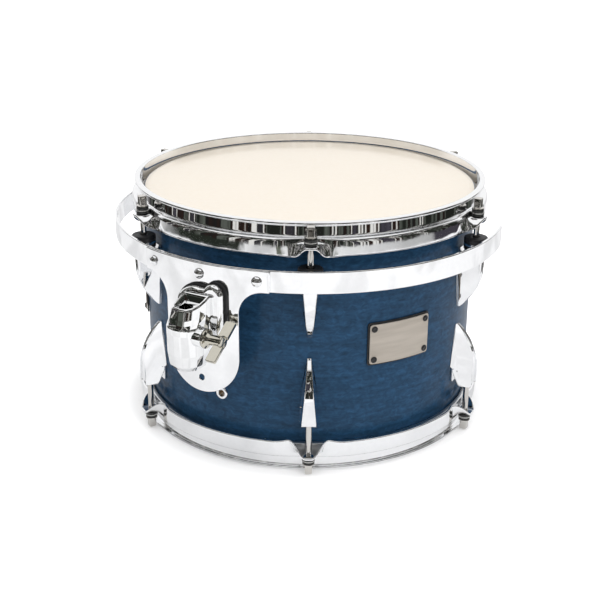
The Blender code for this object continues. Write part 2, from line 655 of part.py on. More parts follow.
def bracket_body(station, chrome):
    """Cast holder: flange, belly, dished mouth with a sloping rim, socket, clamp pocket and clamp boss."""
    flange = bent_sheet(bracket_outline(GASKET_MARGIN), FLANGE_BACK, FLANGE_THICKNESS)
    piece = place("bracket_body", mesh_from(flange, "bracket_body"), chrome, station)
    nose = SOCKET_AXIS + EYE_RADIUS + NOSE_WALL
    levels = [
        (BRACKET_BOTTOM + 0.0008, TOWER_LEFT * 0.74, TOWER_RIGHT * 0.68, nose - 0.006, 0.3),
        (BRACKET_BOTTOM + 0.005, TOWER_LEFT * 0.93, TOWER_RIGHT * 0.86, nose - 0.0024, 0.1),
        (BRACKET_BOTTOM + 0.015, TOWER_LEFT, TOWER_RIGHT, nose - 0.0008, 0),
        (CLAMP_HEIGHT + 0.002, TOWER_LEFT, TOWER_RIGHT, nose, 0),
        (CLAMP_HEIGHT + 0.0075, TOWER_LEFT * 0.97, TOWER_RIGHT, nose - 0.0002, 0.1, MOUTH_SLOPE * 0.06),
        (CLAMP_HEIGHT + 0.014, TOWER_LEFT * 0.83, TOWER_RIGHT, nose - 0.001, 0.5, MOUTH_SLOPE * 0.34),
        (BRACKET_TOP - 0.010, MOUTH_LEFT + 0.002, MOUTH_RIGHT, nose - 0.0018, 0.85, MOUTH_SLOPE * 0.7),
        (BRACKET_TOP - 0.001, MOUTH_LEFT, MOUTH_RIGHT, nose - 0.0022, 1, MOUTH_SLOPE),
        (BRACKET_TOP, MOUTH_LEFT - 0.0004, MOUTH_RIGHT - 0.0004, nose - 0.0026, 1, MOUTH_SLOPE),
    ]
    tower = mesh_from(loft([bracket_section(*level) for level in levels]), "bracket_tower")
    boolean(piece, cutter("bracket_tower", tower, station), "UNION")
    clamp_line = sideways(SOCKET_AXIS, CLAMP_HEIGHT)
    boss = mesh_from(turned(bar(BOSS_RADIUS, 0.008, BOSS_END, BORE_STEPS), clamp_line), "clamp_boss")
    boolean(piece, cutter("clamp_boss", boss, station), "UNION")
    root = SOCKET_AXIS - SOCKET_RADIUS - 2 * DISH_WALL
    left = MOUTH_LEFT - DISH_WALL
    right = MOUTH_RIGHT - DISH_WALL
    dish_levels = [
        (BRACKET_TOP - DISH_DEPTH, left * 0.75, right * 0.7, nose - 3 * DISH_WALL, root + 2 * DISH_WALL),
        (BRACKET_TOP + 0.001, left, right, nose - 2 * DISH_WALL, root),
    ]
    sections = [bracket_section(*level[:4], 1, MOUTH_SLOPE, level[4]) for level in dish_levels]
    dish = mesh_from(loft(sections), "mouth_dish")
    boolean(piece, cutter("mouth_dish", dish, station))
    socket = mesh_from(bar(SOCKET_RADIUS, BRACKET_BOTTOM - 0.01, BRACKET_TOP + 0.01, BORE_STEPS), "socket_drill")
    boolean(piece, cutter("socket_drill", socket, station, (0, -SOCKET_AXIS, 0)))
    boolean(piece, cutter("clamp_pocket", clamp_pocket(), station))
    drill = bar(SHANK_RADIUS + RUNNING_GAP, EYE_RADIUS / 2, BOSS_END + 0.004)
    boolean(piece, cutter("shank_drill", mesh_from(turned(drill, clamp_line), "shank_drill"), station))


def clamp_pocket():
    """Room for the eye and its travel, open at the back of the flange."""
    radius = EYE_RADIUS + 1.5 * GAP
    half_height = EYE_HEIGHT / 2 + 1.5 * GAP
    front = arc((0, SOCKET_AXIS), radius, 180, 90, 6) + arc((EYE_TRAVEL, SOCKET_AXIS), radius, 90, 0, 6)
    outline = front + [(EYE_TRAVEL + radius, FLANGE_BACK - 0.004), (-radius, FLANGE_BACK - 0.004)]
    levels = [[(x, -y, z) for x, y in outline] for z in (CLAMP_HEIGHT - half_height, CLAMP_HEIGHT + half_height)]
    return mesh_from(loft(levels), "clamp_pocket")


def clamp(station, chrome, steel):
    """Eyebolt round the socket and the wing nut that draws it sideways."""
    eye = revolve(ring_profile(SOCKET_RADIUS, EYE_RADIUS, -EYE_HEIGHT / 2, EYE_HEIGHT / 2), BORE_STEPS)
    piece = place("clamp_eyebolt", mesh_from(eye, "clamp_eyebolt"), steel, station, (0, -SOCKET_AXIS, CLAMP_HEIGHT))
    shank = turned(bar(SHANK_RADIUS, EYE_RADIUS - EYE_WALL / 2, SHANK_LENGTH), sideways(0, 0))
    boolean(piece, cutter("eyebolt_shank", mesh_from(shank, "eyebolt_shank"), station,
                          (0, -SOCKET_AXIS, CLAMP_HEIGHT)), "UNION")
    axis = empty("wing_nut_axis", station, (BOSS_END + GAP, -SOCKET_AXIS, CLAMP_HEIGHT))
    bore = SHANK_RADIUS + RUNNING_GAP
    floor = SHANK_LENGTH + EYE_TRAVEL + RUNNING_GAP - BOSS_END
    length = WING_BARREL_LENGTH
    profile = [
        (0, floor), (bore, floor), (bore, 0), (WING_COLLAR_RADIUS, 0), (WING_COLLAR_RADIUS, WING_COLLAR),
        (WING_CAP_RADIUS, WING_COLLAR + 0.001), (WING_BARREL_RADIUS, WING_COLLAR + 0.003),
        (WING_BARREL_RADIUS, length - 0.0026), (WING_CAP_RADIUS, length - 0.0016), (WING_CAP_RADIUS - 0.0006, length),
        (0, length),
    ]
    barrel = turned(revolve(profile, BORE_STEPS, closed=False), sideways(0, 0))
    nut = place("wing_nut", mesh_from(barrel, "wing_nut"), chrome, axis)
    for name, lean in (("upper_wing", WING_ANGLE), ("lower_wing", WING_ANGLE + 180)):
        boolean(nut, cutter(name, wing(lean), axis), "UNION")


def wing(lean):
    """One flat blade of the wing nut, rounded at its end, leaning from upright towards the shell."""
    low = WING_ROOT_OFFSET
    high = WING_ROOT_OFFSET + WING_WIDTH
    corner = 0.0025
    root = SHANK_RADIUS + RUNNING_GAP + 0.0005
    outline = [(low, root), (high, root)]
    outline += arc((high - corner, WING_HALF_SPAN - corner), corner, 0, 90, 3)
    outline += arc((low + corner, WING_HALF_SPAN - corner), corner, 90, 180, 3)
    slab = loft([[(x, y, z) for x, z in outline] for y in (-WING_THICKNESS / 2, WING_THICKNESS / 2)])
    return mesh_from(turned(slab, Matrix.Rotation(-math.radians(lean), 4, "X")), "wing")


def bracket(drum, chrome, steel, rubber):
    """Everything that the plate carries."""
    station = empty("bracket_station", drum, turn=MOUNT_AZIMUTH)
    pad = bent_sheet(bracket_outline(), PLATE_FACE + GAP, GASKET_THICKNESS)
    place("bracket_gasket", mesh_from(pad, "bracket_gasket"), rubber, station)
    bracket_body(station, chrome)
    clamp(station, chrome, steel)


def rounded_rectangle(width, height, corner, middle):
    """Outline of a plate with rounded corners."""
    x = width / 2 - corner
    z = height / 2 - corner
    points = arc((x, middle + z), corner, 90, 0, 3) + arc((x, middle - z), corner, 0, -90, 3)
    points += arc((-x, middle - z), corner, -90, -180, 3) + arc((-x, middle + z), corner, 180, 90, 3)
    return points


def badge(drum, rubber, brushed):
    """Curved name plate, left plain, on a rubber gasket."""
    station = empty("badge_station", drum, turn=BADGE_AZIMUTH)
    width, height, thickness = BADGE_GASKET
    pad = bent_sheet(rounded_rectangle(width, height, BADGE_CORNER, MIDDLE), LUG_FACE, thickness)
    place("badge_gasket", mesh_from(pad, "badge_gasket"), rubber, station)
    back = LUG_FACE + thickness + GAP
    width, height, thickness = BADGE_PLATE
    face = bent_sheet(rounded_rectangle(width, height, BADGE_CORNER, MIDDLE), back, thickness)
    place("badge_plate", mesh_from(face, "badge_plate"), brushed, station)


def side_badge(drum, rubber):
    """Second badge, seen edge-on at the drum's side: one solid as thick as its pad and plate together."""
    station = empty("side_badge_station", drum, turn=SIDE_BADGE_AZIMUTH)
    width, height, thickness = BADGE_GASKET
    thickness += GAP + BADGE_PLATE[2]
    body = bent_sheet(rounded_rectangle(width, height, BADGE_CORNER, MIDDLE), LUG_FACE, thickness)
    place("side_badge", mesh_from(body, "side_badge"), rubber, station)


def vent(drum, chrome):
    """Eyelet that lines the vent hole: flange outside, sleeve through the wall and a spread lip inside."""
    station = empty("vent_station", drum, turn=VENT_AZIMUTH)
    sleeve = VENT_BORE + VENT_SLEEVE_WALL
    face = SHELL_RADIUS + GAP
    inside = SHELL_RADIUS - SHELL_WALL - 2 * GAP
    profile = [
        (VENT_BORE, inside - VENT_FLANGE), (VENT_FLANGE_RADIUS, inside - VENT_FLANGE), (VENT_FLANGE_RADIUS, inside),
        (sleeve, inside), (sleeve, face), (VENT_FLANGE_RADIUS, face),
        (VENT_FLANGE_RADIUS - VENT_FLANGE, face + VENT_FLANGE), (VENT_BORE, face + VENT_FLANGE),
    ]
    body = turned(revolve(profile, ROD_STEPS), outwards(0, VENT_HEIGHT))
    place("vent_eyelet", mesh_from(body, "vent_eyelet"), chrome, station)


def stand_on_origin(drum):
    """Move the drum so that the middle of its base is the origin."""
    bpy.context.view_layer.update()
    depsgraph = bpy.context.evaluated_depsgraph_get()
    corners = []
    for piece in bpy.data.objects:
        if piece.type == "MESH" and not piece.hide_render:
            body = piece.evaluated_get(depsgraph)
            corners += [body.matrix_world @ vert.co for vert in body.data.vertices]
    for axis in (0, 1):
        low = min(point[axis] for point in corners)
        high = max(point[axis] for point in corners)
        drum.location[axis] -= (low + high) / 2


def main():
    for old in list(bpy.data.objects):
        bpy.data.objects.remove(old, do_unlink=True)
    chrome = material("chrome", (0.82, 0.83, 0.85), 0.06, 1.0)
    steel = material("zinc_plated_steel", (0.62, 0.63, 0.64), 0.28, 1.0)
    stain = material("stained_maple", (0.035, 0.10, 0.21), 0.32, 0.0)
    clear = material("clear_film", (0.93, 0.93, 0.92), 0.12, 0.0, 0.25)
    metal = material("flesh_hoop_aluminium", (0.75, 0.76, 0.77), 0.3, 1.0)
    rubber = material("black_rubber", (0.012, 0.012, 0.013), 0.45, 0.0)
    nylon = material("washer_stack", (0.06, 0.065, 0.06), 0.3, 0.6)
    brushed = material("brushed_nickel", (0.60, 0.56, 0.50), 0.35, 0.9)
    drum = empty("drum_axis")
    shell(drum, stain)
    for side, edge, away in (("batter", HEIGHT - RIM_RISE, 1), ("resonant", RIM_RISE, -1)):
        head(side, edge, away, drum, clear, metal)
    for side, rim, away in (("upper", HEIGHT, 1), ("lower", 0.0, -1)):
        hoop(side, rim, away, drum, chrome)
        tension(side, rim, away, drum, chrome, nylon)
    plate(drum, chrome)
    band(drum, chrome)
    bracket(drum, chrome, steel, rubber)
    badge(drum, rubber, brushed)
    side_badge(drum, rubber)
    vent(drum, chrome)
    stand_on_origin(drum)


main()
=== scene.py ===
"""Finished look of a rack tom: stained maple shell, chrome hardware, two heads and a suspended holder bracket.

Lengths are metres and angles degrees. Shapes are pairs of points and faces, worked out round the drum's own
axis, with an azimuth of 0 at -Y that grows towards +X, and lie() moves their meshes to where the shell stands.
"""

import math

import bmesh
import bpy
import numpy as np
from mathutils import Matrix, Vector


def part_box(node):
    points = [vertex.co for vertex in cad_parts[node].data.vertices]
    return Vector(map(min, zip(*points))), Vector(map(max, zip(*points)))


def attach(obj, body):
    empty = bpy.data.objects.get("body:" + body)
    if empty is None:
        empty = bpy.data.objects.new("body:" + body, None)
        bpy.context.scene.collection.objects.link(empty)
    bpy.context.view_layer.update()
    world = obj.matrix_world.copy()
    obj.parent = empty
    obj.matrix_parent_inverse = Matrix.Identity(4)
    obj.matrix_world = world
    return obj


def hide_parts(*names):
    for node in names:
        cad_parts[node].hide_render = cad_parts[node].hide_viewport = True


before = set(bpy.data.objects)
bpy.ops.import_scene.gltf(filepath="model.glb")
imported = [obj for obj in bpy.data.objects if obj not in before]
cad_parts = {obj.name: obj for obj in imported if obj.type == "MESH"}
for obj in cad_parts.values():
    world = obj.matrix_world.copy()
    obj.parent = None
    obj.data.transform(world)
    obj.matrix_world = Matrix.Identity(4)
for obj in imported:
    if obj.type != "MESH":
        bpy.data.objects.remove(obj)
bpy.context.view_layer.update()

# The drum's own sizes, as the frame's solids have them
SHELL_LOW, SHELL_HIGH = (np.array(corner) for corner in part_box("shell"))
AXIS = np.array([(SHELL_LOW[0] + SHELL_HIGH[0]) / 2, (SHELL_LOW[1] + SHELL_HIGH[1]) / 2, 0.0])
SHELL_RADIUS = (SHELL_HIGH[0] - SHELL_LOW[0]) / 2
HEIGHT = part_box("upper_hoop")[1][2]
MIDDLE = HEIGHT / 2
SHELL_WALL = 0.0055
SHELL_INNER = SHELL_RADIUS - SHELL_WALL
ROUND_OVER = 0.0012
CREST = SHELL_RADIUS - 0.002  # the bearing edges' tops
RIM_RISE = SHELL_LOW[2]
GAP = 0.0003
ROD_CIRCLE = SHELL_RADIUS + 0.0138
ROD_BORE = 0.0030
HOOP_INNER = SHELL_RADIUS + 0.003
SHEET = 0.0023
LEDGE_DROP = 0.0125
EAR_DROP = 0.0165
SKIRT_DROP = 0.0019  # the skirt's bend below the ears
SKIRT_LOW = 0.0275
EAR_NECK = ROD_CIRCLE - 0.0058
LUG_FACE = SHELL_RADIUS + GAP
LUG_RISE = 0.0192
LUG_TIP, LUG_LENGTH, LUG_END = 0.0085, 0.0555, 0.064  # from the drum's middle
BAND_RADIUS = 0.1789
BAND_LOW, BAND_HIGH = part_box("mount_plate")[1][2] - 0.0185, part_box("mount_plate")[1][2]
BAND_REACH = 101.5
TAB_RADIUS = 0.0103
PLATE_FACE = BAND_RADIUS + 0.0025
SOCKET_AXIS = PLATE_FACE + 0.0206
SOCKET_RADIUS = 0.0067
MOUNT_AZIMUTH = -29.4
RIVET_STEP = 15.9
VENT = (MOUNT_AZIMUTH, 0.0591)
CLAMP_HEIGHT = 0.133
RIM = 0.164  # the holder's mouth at the plate, from where it falls outwards by the slope
SLOPE = 0.35
BACK = PLATE_FACE + 0.0028
NOSE = SOCKET_AXIS + 0.0128
STATIONS = [60.0 * i for i in range(6)]


# Shapes


def polar(radius, angle, height):
    """Points round Z at a radius, an angle in radians and a height: x = r sin a, y = -r cos a."""
    return np.stack(np.broadcast_arrays(radius * np.sin(angle), -radius * np.cos(angle), height), -1)


def turn(points, azimuth):
    """Points turned about Z: x cos a - y sin a, x sin a + y cos a."""
    a = math.radians(azimuth)
    x, y, z = np.moveaxis(points, -1, 0)
    return np.stack([x * math.cos(a) - y * math.sin(a), x * math.sin(a) + y * math.cos(a), z], -1)


def spin(shape, azimuth):
    """Shape turned about Z."""
    return turn(shape[0], azimuth), shape[1]


def on_rod(shape, azimuth):
    """Shape round Z carried out to a tension rod's line."""
    return turn(shape[0] + (0, -ROD_CIRCLE, 0), azimuth), shape[1]


def outward(shape, azimuth, height):
    """Shape round Z laid so that Z runs outwards from the drum's axis, at a height: (x, -z, y)."""
    x, y, z = shape[0].T
    return turn(np.stack([x, -z, y + height], -1), azimuth), shape[1]


def sideward(shape, out=0.0, height=0.0):
    """Shape round Z laid so that Z runs along the wall in front of the drum: (z, y, -x)."""
    x, y, z = shape[0].T
    return np.stack([z, y - out, height - x], -1), shape[1]


def flat(outline, height):
    """Outline of (x, y) at a height."""
    return np.column_stack([outline, np.full(len(outline), height)])


def upright(outline, y):
    """Outline of (x, z) at a y."""
    return np.stack([outline[:, 0], np.full(len(outline), y), outline[:, 1]], -1)


def quads(rows, columns, round_rows=False, round_columns=False):
    """Faces of a grid of points, each from a point, its neighbours along both ways and the one across."""
    index = np.arange(rows * columns).reshape(rows, columns)
    if round_rows:
        index = np.vstack([index, index[:1]])
    if round_columns:
        index = np.hstack([index, index[:, :1]])
    return np.stack([index[:-1, :-1], index[:-1, 1:], index[1:, 1:], index[1:, :-1]], -1).reshape(-1, 4)


def skin(points, round_rows=False, round_columns=False, lids=False):
    """A grid of points with its faces, and with a many-sided lid on its first and last row."""
    rows, columns = points.shape[:2]
    faces = quads(rows, columns, round_rows, round_columns).tolist()
    if lids:
        faces += [list(range(columns)), list(range((rows - 1) * columns, rows * columns))]
    return points.reshape(-1, 3), faces


def prism(rings):
    """Closed skin over a stack of rings, with a lid at each end."""
    return skin(np.stack(rings), round_columns=True, lids=True)


def rounded(corners, radii, steps=4, most=0.48):
    """Closed outline with its corners eased by curves between two points back along each corner's sides.

    The curve is (1-t)^2 A + 2t(1-t) C + t^2 B for t from 0 to 1, with C the corner, and A and B at most a
    share of a side away. Outlines may be stacked in the leading axes.
    """
    corners = np.asarray(corners, float)
    before = np.roll(corners, 1, -2) - corners
    after = np.roll(corners, -1, -2) - corners
    length_before = np.linalg.norm(before, axis=-1, keepdims=True)
    length_after = np.linalg.norm(after, axis=-1, keepdims=True)
    cosine = np.sum(before * after, -1, keepdims=True) / np.maximum(length_before * length_after, 1e-12)
    half = np.arccos(np.clip(cosine, -0.9999, 0.9999)) / 2
    wanted = np.asarray(radii, float)[..., None] / np.tan(half)
    reach = np.minimum(wanted, most * np.minimum(length_before, length_after))
    start = corners + before / np.maximum(length_before, 1e-12) * reach
    end = corners + after / np.maximum(length_after, 1e-12) * reach
    t = np.linspace(0, 1, steps)[:, None]
    start, middle, end = (spot[..., None, :] for spot in (start, corners, end))
    curve = (1 - t) ** 2 * start + 2 * t * (1 - t) * middle + t**2 * end
    return curve.reshape(*corners.shape[:-2], -1, corners.shape[-1])


def held(outline, steps, length=0.0003):
    """Eased outline with two more points on each side, near its ends, so that its normals stay square to it.

    They are A + length (B - A) / |B - A| and the same from B, at most 0.3 of the side away.
    """
    groups = outline.reshape(*outline.shape[:-2], -1, steps, outline.shape[-1])
    start, end = groups[..., -1, :], np.roll(groups[..., 0, :], -1, -2)
    side = end - start
    step = side * np.minimum(length / np.maximum(np.linalg.norm(side, axis=-1, keepdims=True), 1e-9), 0.3)
    more = np.stack([start + step, end - step], -2)
    return np.concatenate([groups, more], -2).reshape(*outline.shape[:-2], -1, outline.shape[-1])


def lathe(profile, steps, closed=True, start=0.0):
    """Profile of (radius, height) turned about Z from an azimuth: x = r sin a, y = -r cos a."""
    radius, height = np.asarray(profile, float).T
    angle = math.radians(start) + np.linspace(0, 2 * math.pi, steps, endpoint=False)[:, None]
    return skin(polar(radius, angle, height), round_rows=True, round_columns=closed)


def eased_ring(corners, radius, count, steps=4):
    """Closed profile turned about Z, its corners eased by one radius or by one each."""
    radii = np.broadcast_to(np.asarray(radius, float), (len(corners),))
    return lathe(rounded(corners, radii, steps), count)


def eased_bar(corners, radius, count, steps=4):
    """Open profile from Z to Z turned about Z, its inner corners eased: the two ends stay as they are."""
    corners = np.asarray(corners, float)
    eased = rounded(corners, np.full(len(corners), radius), steps)
    return lathe(np.vstack([corners[:1], eased[steps:-steps], corners[-1:]]), count, closed=False)


def tube(inner, outer, low, high, ease, count):
    """Eased rectangle between two radii and two heights, turned about Z."""
    return eased_ring([(inner, low), (outer, low), (outer, high), (inner, high)], ease, count)


def arc(centre, radius, start, end, steps):
    """Points on a circle: centre + radius (cos, sin), angles in degrees."""
    angle = np.radians(np.linspace(start, end, steps))
    return np.stack([centre[0] + radius * np.cos(angle), centre[1] + radius * np.sin(angle)], -1)


def shift_outline(outline, distance):
    """Closed outline moved to its left, along the normal to the chord between each point's neighbours."""
    chord = np.roll(outline, -1, -2) - np.roll(outline, 1, -2)
    chord /= np.maximum(np.linalg.norm(chord, axis=-1, keepdims=True), 1e-12)
    return outline + distance * np.stack([-chord[..., 1], chord[..., 0]], -1)


def shape_mesh(name, shapes, sharp=38.0):
    """Mesh of one or more shapes, with doubles merged, faces outwards and edges past an angle sharp."""
    bm = bmesh.new()
    for points, faces in shapes:
        part = bpy.data.meshes.new(name)
        part.from_pydata(np.asarray(points).tolist(), [], faces)
        bm.from_mesh(part)
        bpy.data.meshes.remove(part)
    bmesh.ops.remove_doubles(bm, verts=bm.verts, dist=1e-6)
    bmesh.ops.dissolve_degenerate(bm, dist=1e-7, edges=bm.edges)
    bmesh.ops.recalc_face_normals(bm, faces=bm.faces)
    mesh = bpy.data.meshes.new(name)
    bm.to_mesh(mesh)
    bm.free()
    return shaded(mesh, sharp)


def shaded(mesh, sharp):
    """Mesh shaded smooth, but for its edges past an angle."""
    mesh.shade_smooth()
    mesh.set_sharp_from_angle(angle=math.radians(sharp))
    return mesh


def lie(mesh):
    """Mesh moved from the drum's own axis to where the frame's shell stands."""
    mesh.transform(Matrix.Translation(AXIS))
    return mesh


def new_object(name, data):
    """Object in the scene."""
    made = bpy.data.objects.new(name, data)
    bpy.context.scene.collection.objects.link(made)
    return made


def piece(name, mesh, finish, nodes=(), body="drum"):
    """Named piece at the origin that rides on a body, and stands for the frame's nodes if it replaces any."""
    made = new_object(name, lie(mesh))
    mesh.materials.clear()
    mesh.materials.append(finish)
    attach(made, body)
    if nodes:
        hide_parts(*nodes)
    return made


def build(name, shapes, finish, nodes=(), body="drum", sharp=38.0):
    """Piece made of shapes."""
    return piece(name, shape_mesh(name, shapes, sharp), finish, nodes, body)


# Finishes


def give(tree, socket, value):
    """Set an input to a constant, or link it to an output."""
    if isinstance(value, bpy.types.NodeSocket):
        tree.links.new(value, socket)
    else:
        socket.default_value = value


def put(tree, made, **inputs):
    """Set or link a node's inputs; an underscore in a name stands for a space."""
    for key, value in inputs.items():
        give(tree, made.inputs[key.replace("_", " ")], value)


def node(tree, kind, settings=None, **inputs):
    """Shader node with its properties, and its inputs set or linked."""
    made = tree.nodes.new("ShaderNode" + kind)
    for key, value in (settings or {}).items():
        setattr(made, key, value)
    put(tree, made, **inputs)
    return made


def here(tree):
    """The place on the object."""
    return node(tree, "TexCoord").outputs["Object"]


def noise(tree, place, scale, detail, roughness=0.5, distortion=0.0):
    """Noise at a place."""
    return node(tree, "TexNoise", Vector=place, Scale=scale, Detail=detail, Roughness=roughness,
                Distortion=distortion).outputs["Fac"]


def stretched(tree, place, scale, rotation=(0.0, 0.0, 0.0), location=(0.0, 0.0, 0.0)):
    """A place scaled along each axis, for marks that run one way."""
    return node(tree, "Mapping", Vector=place, Scale=scale, Rotation=rotation,
                Location=location).outputs["Vector"]


def ramp(tree, factor, stops):
    """Colour of a value among stops of (position, colour or grey)."""
    made = node(tree, "ValToRGB", Fac=factor)
    elements = made.color_ramp.elements
    for number, (position, colour) in enumerate(stops):
        if 0 < number < len(stops) - 1:
            element = elements.new(position)
        else:
            element = elements[0 if number == 0 else -1]
        element.position = position
        element.color = (*np.broadcast_to(np.asarray(colour, float), 3), 1.0)
    return made.outputs["Color"]


def operate(tree, kind, operation, result, *values):
    """Result of an operation on numbers and sockets."""
    made = node(tree, kind, {"operation": operation})
    for socket, value in zip(made.inputs, values):
        give(tree, socket, value)
    return made.outputs[result]


def maths(tree, operation, *values):
    """Result of a sum or other operation on numbers and sockets."""
    return operate(tree, "Math", operation, "Value", *values)


def across(tree, value, start, end, low=0.0, high=1.0):
    """Value eased from one level to another while a socket crosses a range."""
    return node(tree, "MapRange", {"interpolation_type": "SMOOTHSTEP"}, Value=value, From_Min=start,
                From_Max=end, To_Min=low, To_Max=high).outputs["Result"]


def new_group(name, inputs, outputs, taken="Float", given="Float"):
    """Empty shader group: itself, the outputs of its input node, and its output node."""
    group = bpy.data.node_groups.new(name, "ShaderNodeTree")
    for title, value in inputs.items():
        socket = group.interface.new_socket(title, in_out="INPUT", socket_type="NodeSocket" + taken)
        socket.default_value = value
    for title in outputs:
        group.interface.new_socket(title, in_out="OUTPUT", socket_type="NodeSocket" + given)
    return group, group.nodes.new("NodeGroupInput").outputs, group.nodes.new("NodeGroupOutput")


def use(tree, group, **inputs):
    """The outputs of a group placed in a material."""
    return node(tree, "Group", {"node_tree": group}, **inputs).outputs


def polish_group():
    """Wiping marks on plated or moulded surfaces: roughness between two values, and a faint unevenness."""
    taken = {"Scale": 30.0, "Clean": 0.04, "Wiped": 0.1}
    group, given, out = new_group("polish_marks", taken, ("Roughness", "Height"))
    place = here(group)
    broad = noise(group, place, given["Scale"], 5.0, 0.6)
    spread = node(group, "MapRange", Value=broad, From_Min=0.35, From_Max=0.75, To_Min=given["Clean"],
                  To_Max=given["Wiped"])
    put(group, out, Roughness=spread.outputs["Result"], Height=noise(group, place, 260.0, 2.0))
    return group


def grain_group():
    """Maple that runs round the shell: fine streaks, broad figure across them, and the pores' height."""
    group, given, out = new_group("maple_grain", {"Fineness": 1.0}, ("Streak", "Figure", "Height"))
    place = here(group)
    streak = noise(group, stretched(group, place, (34.0, 34.0, 260.0)), given["Fineness"], 6.0, 0.62, 0.4)
    figure = noise(group, stretched(group, place, (150.0, 150.0, 240.0)), 1.0, 4.0, 0.55, 1.1)
    put(group, out, Streak=streak, Figure=figure, Height=streak)
    return group


def brush_group():
    """Brushed lines along the wall and up it, as a height and a mask."""
    group, given, out = new_group("brushed_lines", {"Scale": 1.0}, ("Lines", "Streaks"))
    place = here(group)
    lines = noise(group, stretched(group, place, (60.0, 60.0, 2600.0)), given["Scale"], 3.0)
    broad = stretched(group, place, (20.0, 20.0, 160.0), (0.0, 0.5, 0.0))
    put(group, out, Lines=lines, Streaks=noise(group, broad, given["Scale"], 2.0, distortion=0.2))
    return group


POLISH = polish_group()
GRAIN = grain_group()
BRUSH = brush_group()


def new_finish(name, colour, **inputs):
    """Material with a Principled shader: its colour and constant inputs, and its tree and shader to add to."""
    made = bpy.data.materials.new(name)
    made.use_nodes = True
    tree = made.node_tree
    shader = tree.nodes["Principled BSDF"]
    put(tree, shader, Base_Color=(*colour, 1.0), **inputs)
    return made, tree, shader


def dress(tree, shader, colour, roughness, height, strength, depth):
    """Link a shader's colour and roughness, and its relief from a height."""
    relief = node(tree, "Bump", Height=height, Strength=strength, Distance=depth)
    put(tree, shader, Base_Color=colour, Roughness=roughness, Normal=relief.outputs["Normal"])


def plated(name, colour, clean, wiped, waviness=0.004):
    """Plated metal: wiping marks in the gloss, a slight tint in them and a hardly seen unevenness."""
    made, tree, shader = new_finish(name, colour, Metallic=1.0)
    marks = use(tree, POLISH, Scale=24.0, Clean=clean, Wiped=wiped)
    tint = ramp(tree, marks["Height"], [(0.3, np.array(colour) * 0.97), (0.7, colour)])
    dress(tree, shader, tint, marks["Roughness"], marks["Height"], waviness, 0.001)
    return made


def moulded(name, colour, clean, wiped, relief=0.15):
    """Rubber or nylon: a mottled satin with fine relief."""
    made, tree, shader = new_finish(name, colour, Specular_IOR_Level=0.4)
    marks = use(tree, POLISH, Scale=60.0, Clean=clean, Wiped=wiped)
    tint = ramp(tree, marks["Height"], [(0.35, colour), (0.8, np.array(colour) * 1.8 + 0.004)])
    dress(tree, shader, tint, marks["Roughness"], marks["Height"], relief, 0.0004)
    return made


def stained_maple():
    """Blue stain under satin lacquer: the figure and the streaks take more or less of it."""
    made, tree, shader = new_finish("stained_maple", (0.01, 0.045, 0.11), Specular_IOR_Level=0.06, IOR=1.5,
                                    Coat_Roughness=0.14, Coat_Weight=0.16)
    grain = use(tree, GRAIN, Fineness=1.0)
    mixed = maths(tree, "MULTIPLY_ADD", grain["Figure"], 0.55, maths(tree, "MULTIPLY", grain["Streak"], 0.45))
    pale, plain, deep = (0.030, 0.100, 0.213), (0.018, 0.059, 0.122), (0.009, 0.030, 0.058)
    marks = use(tree, POLISH, Scale=18.0, Clean=0.3, Wiped=0.42)
    dress(tree, shader, ramp(tree, mixed, [(0.28, deep), (0.5, plain), (0.72, pale)]), marks["Roughness"],
          grain["Height"], 0.06, 0.0005)
    return made


def bare_maple():
    """Pale unstained maple of the shell's inside and bearing edges."""
    made, tree, shader = new_finish("bare_maple", (0.86, 0.72, 0.52), Specular_IOR_Level=0.3)
    grain = use(tree, GRAIN, Fineness=0.8)
    colour = ramp(tree, grain["Streak"], [(0.3, (0.80, 0.63, 0.43)), (0.7, (0.92, 0.80, 0.62))])
    marks = use(tree, POLISH, Scale=30.0, Clean=0.4, Wiped=0.55)
    dress(tree, shader, colour, marks["Roughness"], grain["Height"], 0.1, 0.0006)
    return made


def drum_film():
    """Hazy drumhead film: warm and nearly closed, with what is under it only just seen."""
    made, tree, shader = new_finish("drum_film", (0.97, 0.91, 0.81), Specular_IOR_Level=0.4)
    marks = use(tree, POLISH, Scale=16.0, Clean=0.14, Wiped=0.22)
    colour = ramp(tree, marks["Height"], [(0.3, (0.98, 0.895, 0.775)), (0.7, (0.99, 0.915, 0.805))])
    facing = node(tree, "LayerWeight", Blend=0.25).outputs["Facing"]
    put(tree, shader, Alpha=across(tree, facing, 0.0, 0.7, 0.74, 0.84))
    dress(tree, shader, colour, marks["Roughness"], marks["Height"], 0.02, 0.0005)
    return made


def brushed_nickel():
    """Warm silver face with fine brushing and faint broad streaks."""
    made, tree, shader = new_finish("brushed_nickel", (0.45, 0.40, 0.35), Metallic=0.6)
    brush = use(tree, BRUSH, Scale=1.0)
    colour = ramp(tree, brush["Streaks"], [(0.35, (0.50, 0.45, 0.39)), (0.68, (0.60, 0.545, 0.48))])
    roughness = across(tree, brush["Lines"], 0.3, 0.7, 0.42, 0.55)
    dress(tree, shader, colour, roughness, brush["Lines"], 0.06, 0.0003)
    return made


def washer_stack():
    """Black nylon and plated steel in one stack, told apart by the piece's own layer attribute."""
    made, tree, shader = new_finish("washer_stack", (0.05, 0.05, 0.05), Specular_IOR_Level=0.5)
    layer = node(tree, "Attribute", {"attribute_name": "layer"}).outputs["Fac"]
    put(tree, shader, Metallic=layer)
    marks = use(tree, POLISH, Scale=40.0, Clean=0.15, Wiped=0.35)
    colour = ramp(tree, layer, [(0.45, (0.02, 0.021, 0.02)), (0.55, (0.55, 0.55, 0.53))])
    dress(tree, shader, colour, marks["Roughness"], marks["Height"], 0.05, 0.0003)
    return made


